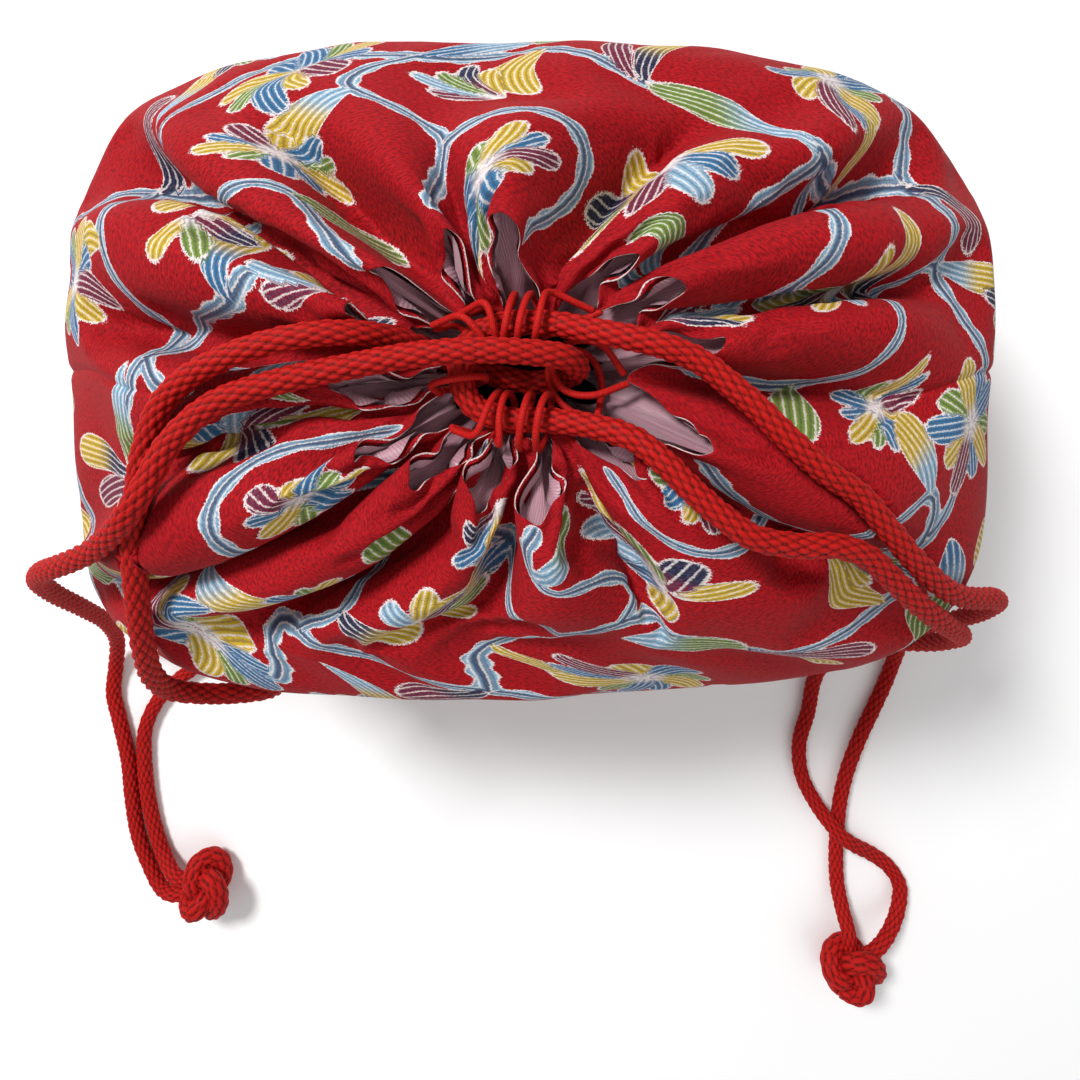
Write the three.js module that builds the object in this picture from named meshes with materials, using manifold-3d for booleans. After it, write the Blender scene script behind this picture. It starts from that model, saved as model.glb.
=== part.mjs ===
// A kinchaku: a soft cloth pouch with a boxy body, a gathered mouth, small cord loops round the
// hem and two drawstrings that run through them. Millimetres, +Z up, +X along the long side.
// The origin is on the surface it stands on, under the middle of the body.
import * as THREE from "three";
import Module from "manifold-3d";
import { mergeVertices } from "three/addons/utils/BufferGeometryUtils.js";

// ---- Driving dimensions ----
const FABRIC = 1.2; // wall that stands for the outer cloth and its folds
const LINING = 0.8;
const GAP = 0.35; // between pieces that touch
const SKIN_GAP = 0.7; // between the outer cloth and the lining, measured across the wall
const BASE_SHEET = 1.2;
const BOARD = 1.5; // stiff card in the bottom
const CORD = 5.5; // diameter of a drawstring
const THIN_CORD = 1.8; // diameter of a hem loop
const MOUTH = { width: 38, depth: 32.6 }; // half sizes of the gathered mouth
const BODY = { width: 130, depth: 90 }; // half sizes at the fullest height
const AROUND = 48; // facets round the body
const BOTTOM_SPLAY = 0.6; // how far the side leans out for each millimetre up from the bottom edge

// Half width of the body and its height, from the bottom edge up and over into the mouth.
const PROFILE = [
  [110, 0],
  [114.5, 3],
  [119, 12],
  [126, 50],
  [130, 88],
  [126, 112],
  [117, 127],
  [104, 138],
  [88, 146.5],
  [72, 152],
  [58, 155],
  [46, 155],
  [MOUTH.width, 150],
];

// Drawstring centre lines. Each starts and ends in its knot and turns back inside the mouth.
const LEFT_ROUTE = [
  [-138.6, -207.5, 9], [-146, -207.5, 5], [-152.5, -198, 3], [-156.5, -187, 3], [-159, -172, 3],
  [-160.5, -157, 3], [-164, -141, 3], [-166.5, -130, 3], [-165, -119, 4.2], [-160, -106, 13],
  [-153, -92, 34], [-147.5, -79, 60], [-142, -67, 86], [-136, -58.5, 104], [-128, -53, 116.5], [-118, -49, 127.5],
  [-108, -45, 136.5], [-99.5, -41, 143.5], [-92.5, -36.5, 150], [-87.5, -32.5, 154.5],
  [-83.5, -28, 157.2], [-80, -22.5, 158], [-76, -15.5, 158], [-66.5, -7, 158.5], [-52, -2, 158.8],
  [-38, 1, 158.8], [-24, 3.5, 158.8], [-10, 4.6, 158.8], [1, 4.2, 157.7], [8.7, 3.2, 154.7],
  [11.9, 0.8, 147.3], [8.7, -1.5, 139.9], [1, -2.5, 136.8], [-10, 0.2, 137.6],
  [-20.5, 4.2, 142.8], [-29, 7.4, 150.8], [-36.5, 8.4, 156.8], [-45, 8, 159], [-55, 6, 159],
  [-64.5, 2.8, 158], [-73, -1.5, 156],
  [-79, -7, 154.2], [-82.8, -14.6, 152.6], [-84.8, -21, 151.6], [-86.3, -28, 150.2],
  [-87.8, -35, 148.4], [-89, -42, 146.2], [-91, -56, 139.8], [-93.5, -68.5, 131.5],
  [-96, -78.5, 121.5], [-96, -86, 111], [-91, -90.5, 102.5], [-83, -93, 96], [-77, -95, 88],
  [-76.5, -97, 78], [-80.5, -98.5, 60], [-90, -101, 38], [-104, -105.5, 19], [-120, -112, 7.5],
  [-135, -120.5, 3.4], [-147.5, -131.5, 3], [-153.5, -144, 3], [-154, -157, 3], [-152.5, -172, 3],
  [-149.5, -185.5, 3], [-145.5, -195, 4.2], [-138.6, -200.5, 9],
];
const RIGHT_ROUTE = [
  [140.4, -227.4, 10], [146.5, -222, 7], [150.6, -215, 4.2], [151.5, -207.5, 3], [147, -200, 3],
  [139.5, -194.2, 4], [131.8, -189, 7.6], [126, -184.5, 9.4], [121, -179.2, 8.4], [116.3, -172.5, 5.2],
  [112, -163, 3], [111, -150, 3], [114.5, -137.5, 3], [116.5, -124, 4.5], [119, -111, 14],
  [121.5, -100, 34], [124, -91, 58], [126.5, -83.5, 80], [124.5, -76, 98], [117.5, -70.6, 111],
  [109.5, -65.8, 121.8], [101, -60.4, 131.8], [92.3, -54.4, 140.2], [83.3, -47, 146.6],
  [76, -41, 151], [68.2, -38, 153.8], [58.3, -37.4, 156], [48.3, -35, 158.2], [41.6, -30.4, 158.8],
  [35, -24.6, 158.8], [29.8, -19.4, 158.4], [23.4, -14.4, 156.4], [14.5, -11.8, 152.6],
  [5, -10.8, 149.6], [-4, -10.6, 148.4], [-11.6, -7.5, 148], [-14.7, 0.1, 148], [-11.6, 7.7, 148.4],
  [-4, 10.8, 149.6], [6, 10.6, 152.4], [17.2, 8.4, 156.4], [28.5, 5.8, 158.8], [36.5, 2.6, 158.8],
  [43.1, -2.3, 158.8], [49.2, -7.5, 158.8], [55.6, -13.8, 158.6], [64, -21, 157], [73, -27, 154.2],
  [79.8, -34, 151.2], [88.2, -42.4, 146.2], [98, -50.2, 138.8], [107.5, -55.4, 130], [117, -58.6, 121],
  [126, -61, 112], [133.6, -65, 101], [138.5, -72.5, 85], [141.5, -82, 63], [144.5, -92, 38],
  [147.5, -104, 15], [148.5, -115.5, 5], [145.6, -126, 3], [141.5, -135, 3], [135, -149, 3],
  [130, -162.5, 3], [127.4, -174, 3], [126.3, -184.5, 3], [125.8, -195.5, 3], [126.2, -207, 3.4],
  [127.4, -216, 6], [128.4, -222.3, 9],
];
const CORD_STEPS = 84;
const LOOP_STEPS = 16;
const LOOP_EASE = 0.8; // slack where a loop goes round its drawstring
const LOOP_SPREAD = 3.4; // degrees round the mouth from a loop's middle to where each leg is sewn

// Hem loops, each by its angle round the mouth and the place and heading of the cord it holds.
const LOOPS = [
  { angle: 42, at: [3.6, 10.8, 151.7], along: [1, -0.02, 0.25] },
  { angle: 68, at: [0, 10.9, 150.6], along: [1, 0, 0.25] },
  { angle: 112, at: [-3.6, 10.8, 149.7], along: [1, 0, 0.15] },
  { angle: 136, at: [-7.4, 10.2, 149], along: [1, 0.3, 0.15] },
  { angle: 155, at: [-11.3, 8, 148.4], along: [1, 0.9, 0] },
  { angle: -167, at: [-14.5, -2.4, 148], along: [0.25, -1, 0] },
  { angle: -143, at: [-8, -9.9, 148.2], along: [1, -0.4, 0] },
  { angle: -118, at: [-4, -10.6, 148.4], along: [1, 0, 0.1] },
  { angle: -93, at: [0, -10.8, 148.8], along: [1, 0, 0.1] },
  { angle: -66, at: [4, -10.8, 149.4], along: [1, 0, 0.15] },
  { angle: -36, at: [11.1, -0.3, 143.4], along: [0.38, 0.29, 0.88] },
  { angle: -2, at: [11.8, 1.1, 148.4], along: [-0.16, 0.3, 0.94] },
];

const KNOTS = {
  knot_left: { centre: [-126.2, -203.5], half: [12, 13, 11], turn: 200 },
  knot_right: { centre: [129, -236], half: [12.5, 13, 11], turn: 250 },
};

// ---- Materials ----
const material = (color, roughness) => new THREE.MeshStandardMaterial({ color, roughness, metalness: 0 });
const RED_CREPE = 0xa80d14;
const MAUVE_SATIN = 0x8f6270;
const GREY_CARD = 0x8d8578;
const RED_CORD = 0xc01a18;

const wasm = await Module();
wasm.setup();

/** A manifold solid from a closed three.js geometry. */
function solidOf(geometry) {
  const bare = geometry.clone();
  bare.deleteAttribute("normal");
  bare.deleteAttribute("uv");
  const merged = mergeVertices(bare, 1e-3);
  return new wasm.Manifold(new wasm.Mesh({
    numProp: 3,
    vertProperties: new Float32Array(merged.attributes.position.array),
    triVerts: new Uint32Array(merged.index.array),
  }));
}

/** A three.js geometry from a manifold solid. */
function geometryOf(solid) {
  const mesh = solid.getMesh();
  const geometry = new THREE.BufferGeometry();
  geometry.setAttribute("position", new THREE.BufferAttribute(mesh.vertProperties, 3));
  geometry.setIndex(new THREE.BufferAttribute(mesh.triVerts, 1));
  return geometry;
}

const bodyShare = (halfWidth) => (halfWidth - MOUTH.width) / (BODY.width - MOUTH.width);

/** The half depth of the body where its half width is given: it rounds off towards the mouth. */
const halfDepth = (halfWidth) => MOUTH.depth + bodyShare(halfWidth) * (BODY.depth - MOUTH.depth);

/** The exponent of the body's rounded rectangle: nearly square low down and an ellipse at the mouth. */
const squareness = (halfWidth) => 2 + 1.8 * Math.max(0, bodyShare(halfWidth)) ** 2;

/** A turned solid of the given profile, pressed into the body's rounded rectangle. */
function pressedSolid(profile) {
  const turned = new THREE.LatheGeometry(profile.map(([r, z]) => new THREE.Vector2(r, z)), AROUND);
  turned.rotateX(Math.PI / 2);
  const place = turned.attributes.position;
  for (let i = 0; i < place.count; i += 1) {
    const [x, y] = [place.getX(i), place.getY(i)];
    const halfWidth = Math.hypot(x, y);
    if (halfWidth > 1e-6) {
      const power = 2 / squareness(halfWidth);
      const [c, s] = [x / halfWidth, y / halfWidth];
      place.setX(i, halfWidth * Math.sign(c) * Math.abs(c) ** power);
      place.setY(i, halfDepth(halfWidth) * Math.sign(s) * Math.abs(s) ** power);
    }
  }
  return solidOf(turned);
}

/** PROFILE moved inwards, square to itself, by a distance. */
function insetProfile(distance) {
  return PROFILE.map(([r, z], i) => {
    const [r0, z0] = PROFILE[Math.max(i - 1, 0)];
    const [r1, z1] = PROFILE[Math.min(i + 1, PROFILE.length - 1)];
    const length = Math.hypot(r1 - r0, z1 - z0);
    return [r - (distance * (z1 - z0)) / length, z + (distance * (r1 - r0)) / length];
  });
}

/** The body's outline inset by a distance, filled in from a floor up to a flat lid over the mouth. */
function filledBody(distance, floor) {
  const side = insetProfile(distance).filter((_, i) => PROFILE[i][1] > floor + 0.5);
  const floorRadius = side[0][0] - BOTTOM_SPLAY * (side[0][1] - floor);
  return pressedSolid([[0, floor], [floorRadius, floor], ...side, [0, side.at(-1)[1]]]);
}

/** An open-mouthed shell of the body between two inset distances. */
function openShell(outside, inside, outsideFloor, insideFloor) {
  const mouth = pressedSolid([[0, 120], [MOUTH.width, 120], [MOUTH.width, 200], [0, 200]]);
  return filledBody(outside, outsideFloor).subtract(filledBody(inside, insideFloor)).subtract(mouth);
}

const SIDE_CUT = new THREE.BoxGeometry(4 * BODY.width, 4 * BODY.depth, 400);

/** Half of a solid: side 1 keeps y > 0 and side -1 keeps y < 0, with a seam gap between them. */
function halfOf(solid, side) {
  const box = SIDE_CUT.clone().translate(0, side * (2 * BODY.depth + GAP / 2), 0);
  return solid.intersect(solidOf(box));
}

/** A flat sheet of the body's outline at the bottom. */
function bottomSheet(halfWidth, low, high) {
  return geometryOf(pressedSolid([[0, low], [halfWidth, low], [halfWidth, high], [0, high]]));
}

/** A round cord along a smooth curve through the points. */
function cordAlong(points, diameter, steps, sides) {
  const curve = new THREE.CatmullRomCurve3(points.map((p) => new THREE.Vector3(...p)), false, "centripetal");
  const section = new THREE.Shape();
  for (let i = 0; i < sides; i += 1) {
    const angle = (2 * Math.PI * i) / sides;
    const [x, y] = [(diameter / 2) * Math.cos(angle), (diameter / 2) * Math.sin(angle)];
    if (i === 0) section.moveTo(x, y);
    else section.lineTo(x, y);
  }
  section.closePath();
  return new THREE.ExtrudeGeometry(section, { steps, extrudePath: curve, curveSegments: 1 });
}

/** A point on the inside of the hem, at an angle in degrees round the mouth. */
function hemPoint(angle) {
  const turn = THREE.MathUtils.degToRad(angle);
  return new THREE.Vector3((MOUTH.width - 1.2) * Math.cos(turn), (MOUTH.depth - 1.2) * Math.sin(turn), 149);
}

/** The points of a hem loop: from the hem, round the held cord and back to the hem. */
function loopPoints({ angle, at, along }) {
  const held = new THREE.Vector3(...at);
  const heading = new THREE.Vector3(...along).normalize();
  const outward = hemPoint(angle).sub(held).projectOnPlane(heading).normalize();
  const across = heading.clone().cross(outward);
  const bend = CORD / 2 + THIN_CORD / 2 + GAP + LOOP_EASE;
  const rim = ([out, side]) =>
    held.clone().addScaledVector(outward, bend * out).addScaledVector(across, bend * side);
  const wrap = [[1.5, 0.85], [0, 1], [-0.75, 0.7], [-1.03, 0], [-0.75, -0.7], [0, -1], [1.5, -0.85]];
  const counterClockwise = across.dot(hemPoint(angle + 1).sub(hemPoint(angle))) >= 0 ? 1 : -1;
  const start = hemPoint(angle + LOOP_SPREAD * counterClockwise);
  const end = hemPoint(angle - LOOP_SPREAD * counterClockwise);
  return [start, ...wrap.map(rim), end].map((p) => p.toArray());
}

/** A pulled-tight overhand knot: a low, heart-shaped lump with a flat place where it lies. */
function knotGeometry({ centre, half, turn }) {
  const lump = new THREE.SphereGeometry(1, 16, 12).rotateX(Math.PI / 2);
  const place = lump.attributes.position;
  for (let i = 0; i < place.count; i += 1) {
    const [x, y, z] = [place.getX(i), place.getY(i), place.getZ(i)];
    const round = Math.atan2(y, x) - THREE.MathUtils.degToRad(turn);
    const lobes = 1 - 0.09 * (1 - z * z) * (1 + Math.cos(2 * round));
    place.setXYZ(i, half[0] * x * lobes, half[1] * y * lobes, Math.max(half[2] * z, -half[2] * 0.86));
  }
  return lump.translate(centre[0], centre[1], half[2] * 0.86);
}

// ---- The pieces ----
const group = new THREE.Group();

/** Adds one named piece to the group. */
function addPiece(name, geometry, surface) {
  const piece = new THREE.Mesh(geometry, surface);
  piece.name = name;
  group.add(piece);
}

const liningDistance = FABRIC + SKIN_GAP;
const boardTop = BASE_SHEET + GAP + BOARD;
const liningFloor = boardTop + GAP;

const wall = openShell(0, FABRIC, 0, -5);
addPiece("outer_back_panel", geometryOf(halfOf(wall, 1)), material(RED_CREPE, 0.85));
addPiece("outer_front_panel", geometryOf(halfOf(wall, -1)), material(RED_CREPE, 0.85));
addPiece("outer_base_panel", bottomSheet(107.5, 0, BASE_SHEET), material(RED_CREPE, 0.85));
addPiece("base_board", bottomSheet(104, BASE_SHEET + GAP, boardTop), material(GREY_CARD, 0.9));

const sack = openShell(liningDistance, liningDistance + LINING, liningFloor, liningFloor + LINING);
addPiece("lining", geometryOf(sack), material(MAUVE_SATIN, 0.5));

LOOPS.forEach((loop, i) => {
  const name = `loop_${String(i + 1).padStart(2, "0")}`;
  addPiece(name, cordAlong(loopPoints(loop), THIN_CORD, LOOP_STEPS, 8), material(RED_CORD, 0.7));
});

addPiece("drawstring_left", cordAlong(LEFT_ROUTE, CORD, CORD_STEPS, 8), material(RED_CORD, 0.7));
addPiece("drawstring_right", cordAlong(RIGHT_ROUTE, CORD, CORD_STEPS, 8), material(RED_CORD, 0.7));
for (const [name, knot] of Object.entries(KNOTS)) {
  addPiece(name, knotGeometry(knot), material(RED_CORD, 0.7));
}

export default group;
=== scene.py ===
"""A kinchaku, a soft cloth pouch: a boxy crepe body gathered at the mouth by thin hem loops.

The cloth's shape comes from its own flat width: each ring round the body is folded until it holds all
of that width, so the folds deepen towards the mouth as they do in a real gathered pouch. All sizes are
in metres.
"""

import logging
import math
from collections.abc import Iterable, Iterator
from contextlib import contextmanager
from dataclasses import dataclass, field
from enum import Enum

import bmesh
import bpy
import numpy as np
from mathutils import Matrix, Vector
from mathutils.bvhtree import BVHTree
from mathutils.kdtree import KDTree


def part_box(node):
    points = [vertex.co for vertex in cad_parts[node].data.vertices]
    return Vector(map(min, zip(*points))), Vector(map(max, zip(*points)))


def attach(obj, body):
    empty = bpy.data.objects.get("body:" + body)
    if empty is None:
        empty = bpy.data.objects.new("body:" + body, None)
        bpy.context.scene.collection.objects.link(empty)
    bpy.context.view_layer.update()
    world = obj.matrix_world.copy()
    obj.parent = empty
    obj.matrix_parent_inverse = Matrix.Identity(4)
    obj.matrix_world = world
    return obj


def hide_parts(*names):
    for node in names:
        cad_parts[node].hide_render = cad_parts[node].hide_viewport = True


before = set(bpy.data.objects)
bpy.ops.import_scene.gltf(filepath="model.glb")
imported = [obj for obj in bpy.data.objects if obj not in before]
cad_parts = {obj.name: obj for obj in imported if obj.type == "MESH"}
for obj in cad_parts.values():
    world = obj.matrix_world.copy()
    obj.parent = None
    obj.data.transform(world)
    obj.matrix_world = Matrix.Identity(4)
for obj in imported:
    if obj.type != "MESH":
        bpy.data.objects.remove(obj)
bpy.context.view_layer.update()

Point = tuple[float, float, float]
MM = 0.001
LOG = logging.getLogger("kinchaku")

# ---- Routes of the two drawstrings, each from its knot, through the mouth and back ----
LEFT_ROUTE: tuple[Point, ...] = (
    (-0.1386, -0.2075, 0.009), (-0.146, -0.2075, 0.005), (-0.1525, -0.198, 0.003),
    (-0.1565, -0.187, 0.003), (-0.159, -0.172, 0.003), (-0.1605, -0.157, 0.003),
    (-0.164, -0.141, 0.003), (-0.1665, -0.13, 0.003), (-0.165, -0.119, 0.0042), (-0.16, -0.106, 0.013),
    (-0.153, -0.092, 0.034), (-0.1475, -0.079, 0.06), (-0.142, -0.067, 0.086),
    (-0.136, -0.0585, 0.104), (-0.128, -0.053, 0.1165), (-0.118, -0.049, 0.1275),
    (-0.108, -0.045, 0.1365), (-0.0995, -0.041, 0.1435), (-0.0925, -0.0365, 0.15),
    (-0.0875, -0.0325, 0.1545), (-0.0835, -0.028, 0.1572), (-0.08, -0.0225, 0.158),
    (-0.076, -0.0155, 0.158), (-0.0665, -0.007, 0.1585), (-0.052, -0.002, 0.1588),
    (-0.038, 0.001, 0.1588), (-0.024, 0.0035, 0.1588), (-0.01, 0.0046, 0.1588),
    (0.001, 0.0042, 0.1577), (0.0087, 0.0032, 0.1547), (0.0119, 0.0008, 0.1473),
    (0.0087, -0.0015, 0.1399), (0.001, -0.0025, 0.1368), (-0.01, 0.0002, 0.1376),
    (-0.0205, 0.0042, 0.1428), (-0.029, 0.0074, 0.1508), (-0.0365, 0.0084, 0.1568),
    (-0.045, 0.008, 0.159), (-0.055, 0.006, 0.159), (-0.0645, 0.0028, 0.158), (-0.073, -0.0015, 0.156),
    (-0.079, -0.007, 0.1542), (-0.0828, -0.0146, 0.1526), (-0.0848, -0.021, 0.1516),
    (-0.0863, -0.028, 0.1502), (-0.0878, -0.035, 0.1484), (-0.089, -0.042, 0.1462),
    (-0.091, -0.056, 0.1398), (-0.0935, -0.0685, 0.1315), (-0.096, -0.0785, 0.1215),
    (-0.096, -0.086, 0.111), (-0.091, -0.0905, 0.1025), (-0.083, -0.093, 0.096),
    (-0.077, -0.095, 0.088), (-0.0765, -0.097, 0.078), (-0.0805, -0.0985, 0.06),
    (-0.09, -0.101, 0.038), (-0.104, -0.1055, 0.019), (-0.12, -0.112, 0.0075),
    (-0.135, -0.1205, 0.0034), (-0.1475, -0.1315, 0.003), (-0.1535, -0.144, 0.003),
    (-0.154, -0.157, 0.003), (-0.1525, -0.172, 0.003), (-0.1495, -0.1855, 0.003),
    (-0.1455, -0.195, 0.0042), (-0.1386, -0.2005, 0.009),
)
RIGHT_ROUTE: tuple[Point, ...] = (
    (0.1404, -0.2274, 0.01), (0.1465, -0.222, 0.007), (0.1506, -0.215, 0.0042),
    (0.1515, -0.2075, 0.003), (0.147, -0.2, 0.003), (0.1395, -0.1942, 0.004), (0.1318, -0.189, 0.0076),
    (0.126, -0.1845, 0.0094), (0.121, -0.1792, 0.0084), (0.1163, -0.1725, 0.0052),
    (0.112, -0.163, 0.003), (0.111, -0.15, 0.003), (0.1145, -0.1375, 0.003), (0.1165, -0.124, 0.0045),
    (0.119, -0.111, 0.014), (0.1215, -0.1, 0.034), (0.124, -0.091, 0.058), (0.1265, -0.0835, 0.08),
    (0.1245, -0.076, 0.098), (0.1175, -0.0706, 0.111), (0.1095, -0.0658, 0.1218),
    (0.101, -0.0604, 0.1318), (0.0923, -0.0544, 0.1402), (0.0833, -0.047, 0.1466),
    (0.076, -0.041, 0.151), (0.0682, -0.038, 0.1538), (0.0583, -0.0374, 0.156),
    (0.0483, -0.035, 0.1582), (0.0416, -0.0304, 0.1588), (0.035, -0.0246, 0.1588),
    (0.0298, -0.0194, 0.1584), (0.0234, -0.0144, 0.1564), (0.0145, -0.0118, 0.1526),
    (0.005, -0.0108, 0.1496), (-0.004, -0.0106, 0.1484), (-0.0116, -0.0075, 0.148),
    (-0.0147, 0.0001, 0.148), (-0.0116, 0.0077, 0.1484), (-0.004, 0.0108, 0.1496),
    (0.006, 0.0106, 0.1524), (0.0172, 0.0084, 0.1564), (0.0285, 0.0058, 0.1588),
    (0.0365, 0.0026, 0.1588), (0.0431, -0.0023, 0.1588), (0.0492, -0.0075, 0.1588),
    (0.0556, -0.0138, 0.1586), (0.064, -0.021, 0.157), (0.073, -0.027, 0.1542),
    (0.0798, -0.034, 0.1512), (0.0882, -0.0424, 0.1462), (0.098, -0.0502, 0.1388),
    (0.1075, -0.0554, 0.13), (0.117, -0.0586, 0.121), (0.126, -0.061, 0.112), (0.1336, -0.065, 0.101),
    (0.1385, -0.0725, 0.085), (0.1415, -0.082, 0.063), (0.1445, -0.092, 0.038),
    (0.1475, -0.104, 0.015), (0.1485, -0.1155, 0.005), (0.1456, -0.126, 0.003),
    (0.1415, -0.135, 0.003), (0.135, -0.149, 0.003), (0.13, -0.1625, 0.003), (0.1274, -0.174, 0.003),
    (0.1263, -0.1845, 0.003), (0.1258, -0.1955, 0.003), (0.1262, -0.207, 0.0034),
    (0.1274, -0.216, 0.006), (0.1284, -0.2223, 0.009),
)
CORD_DIAMETER = 0.0055
# The braid's strands stand a little proud of its nominal size, with grooves between them.
BRAID_RADIUS = CORD_DIAMETER / 2 + 0.00025
BRAID_DEPTH = 0.0008
# How far a strand runs along the cord before it dives, in the cord's radii.
STITCH_LENGTH = 1.6
LOOP_DIAMETER = 0.0017
LOOP_DEPTH = 0.0002
# Each cord's last ring is drawn in to this share of its width before its end is closed.
END_TAPER = 0.7


# ---- Small tools ----
def linear(hex_colour: str) -> tuple[float, float, float, float]:
    """Turns an sRGB hex colour into the linear colour that a shader takes.

    Args:
        hex_colour: six hex digits.

    Returns:
        Red, green, blue and an alpha of 1.
    """
    parts = [int(hex_colour[i : i + 2], 16) / 255 for i in (0, 2, 4)]
    return (*(c / 12.92 if c <= 0.04045 else ((c + 0.055) / 1.055) ** 2.4 for c in parts), 1.0)


def smoothstep(low: float, high: float, value: np.ndarray) -> np.ndarray:
    """Goes smoothly from 0 at low to 1 at high.

    Args:
        low: where it leaves 0.
        high: where it reaches 1. It may be less than low.
        value: the numbers to map.

    Returns:
        The mapped numbers.
    """
    share = np.clip((value - low) / (high - low), 0.0, 1.0)
    return share * share * (3 - 2 * share)


def even_path(points: np.ndarray, count: int) -> np.ndarray:
    """Runs a smooth curve through the points and spaces new ones evenly along it.

    Args:
        points: the points to pass through, one a row.
        count: how many points to return.

    Returns:
        The new points, one a row.
    """
    points = np.asarray(points, float)
    padded = np.vstack([2 * points[0] - points[1], points, 2 * points[-1] - points[-2]])
    steps = np.linspace(0, 1, 16, endpoint=False)[:, None]
    pieces = []
    for p0, p1, p2, p3 in zip(padded, padded[1:], padded[2:], padded[3:]):
        spans = [math.sqrt(np.linalg.norm(b - a)) for a, b in ((p0, p1), (p1, p2), (p2, p3))]
        knots = np.cumsum([0, *spans])
        t0, t1, t2, t3 = knots
        t = t1 + (t2 - t1) * steps
        a1 = ((t1 - t) * p0 + (t - t0) * p1) / (t1 - t0)
        a2 = ((t2 - t) * p1 + (t - t1) * p2) / (t2 - t1)
        a3 = ((t3 - t) * p2 + (t - t2) * p3) / (t3 - t2)
        b1 = ((t2 - t) * a1 + (t - t0) * a2) / (t2 - t0)
        b2 = ((t3 - t) * a2 + (t - t1) * a3) / (t3 - t1)
        pieces.append(((t2 - t) * b1 + (t - t1) * b2) / (t2 - t1))
    dense = np.vstack([*pieces, points[-1:]])
    run = np.concatenate([[0], np.cumsum(np.linalg.norm(np.diff(dense, axis=0), axis=1))])
    wanted = np.linspace(0, run[-1], count)
    return np.stack([np.interp(wanted, run, dense[:, k]) for k in range(dense.shape[1])], axis=1)


def path_length(path: np.ndarray) -> float:
    """The length of a line through the points."""
    return float(np.linalg.norm(np.diff(path, axis=0), axis=1).sum())


def carried_frames(path: np.ndarray) -> tuple[np.ndarray, np.ndarray, np.ndarray]:
    """Carries a cross-section along a path without twisting it.

    Args:
        path: the points of the path.

    Returns:
        The heading at each point and two directions square to it.
    """
    heading = np.gradient(path, axis=0)
    heading /= np.linalg.norm(heading, axis=1, keepdims=True)
    side = np.cross(heading[0], (0.0, 0.0, 1.0) if abs(heading[0][2]) < 0.9 else (1.0, 0.0, 0.0))
    sides = [side / np.linalg.norm(side)]
    for direction in heading[1:]:
        side = sides[-1] - direction * np.dot(sides[-1], direction)
        sides.append(side / np.linalg.norm(side))
    across = np.array(sides)
    return heading, across, np.cross(heading, across)


def grid_mesh(
    name: str, places: np.ndarray, uv_size: tuple[float, float], uv_start: float = 0.0
) -> bpy.types.Mesh:
    """Makes a mesh of a grid of places, with a UV map in metres of cloth.

    Args:
        name: the mesh's name.
        places: rows by columns by 3, wound so that its faces look outwards.
        uv_size: the flat width and height that the grid stands for.
        uv_start: the flat place of its first column.

    Returns:
        The mesh.
    """
    rows, columns = places.shape[:2]
    grid = bmesh.new()
    grid.loops.layers.uv.new("cloth")
    bmesh.ops.create_grid(grid, x_segments=columns - 1, y_segments=rows - 1, size=0.5, calc_uvs=True)
    layer = grid.loops.layers.uv["cloth"]
    for vertex in grid.verts:
        column = round((vertex.co.x + 0.5) * (columns - 1))
        row = round((vertex.co.y + 0.5) * (rows - 1))
        for loop in vertex.link_loops:
            loop[layer].uv = (
                uv_start + uv_size[0] * column / (columns - 1),
                uv_size[1] * row / (rows - 1),
            )
        vertex.co = places[row, column]
        vertex.index = row * columns + column
    grid.verts.sort()
    for face in grid.faces:
        face.smooth = True
    mesh = bpy.data.meshes.new(name)
    grid.to_mesh(mesh)
    grid.free()
    return mesh


@contextmanager
def welded(mesh: bpy.types.Mesh, distance: float) -> Iterator[bmesh.types.BMesh]:
    """Opens a mesh for editing with its doubles merged, and writes it back afterwards.

    Args:
        mesh: the mesh.
        distance: how far apart two doubles may be.

    Returns:
        The mesh as bmesh edits it, for a with block.
    """
    work = bmesh.new()
    work.from_mesh(mesh)
    bmesh.ops.remove_doubles(work, verts=work.verts, dist=distance)
    yield work
    work.to_mesh(mesh)
    work.free()


def show(mesh: bpy.types.Mesh, finish: bpy.types.Material) -> bpy.types.Object:
    """Puts a mesh in the scene under its own name, dressed in a finish."""
    piece = bpy.data.objects.new(mesh.name, mesh)
    bpy.context.scene.collection.objects.link(piece)
    mesh.materials.append(finish)
    return piece


def stand_for(
    node: str, mesh: bpy.types.Mesh, finish: bpy.types.Material
) -> bpy.types.Object:
    """Shows a mesh in the place of a CAD node.

    Args:
        node: the CAD node.
        mesh: the finished mesh.
        finish: its material.

    Returns:
        The piece.
    """
    piece = show(mesh, finish)
    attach(piece, "root")
    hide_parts(node)
    return piece


def add_values(mesh: bpy.types.Mesh, name: str, kind: str, values: np.ndarray) -> None:
    """Writes one value for each vertex as an attribute.

    Args:
        mesh: the mesh.
        name: the attribute's name.
        kind: FLOAT, FLOAT_VECTOR or FLOAT_COLOR.
        values: one row for each vertex.
    """
    made = mesh.attributes.new(name, kind, "POINT")
    socket = {"FLOAT": "value", "FLOAT_VECTOR": "vector", "FLOAT_COLOR": "color"}[kind]
    made.data.foreach_set(socket, np.ascontiguousarray(values, np.float32).ravel())


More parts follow.
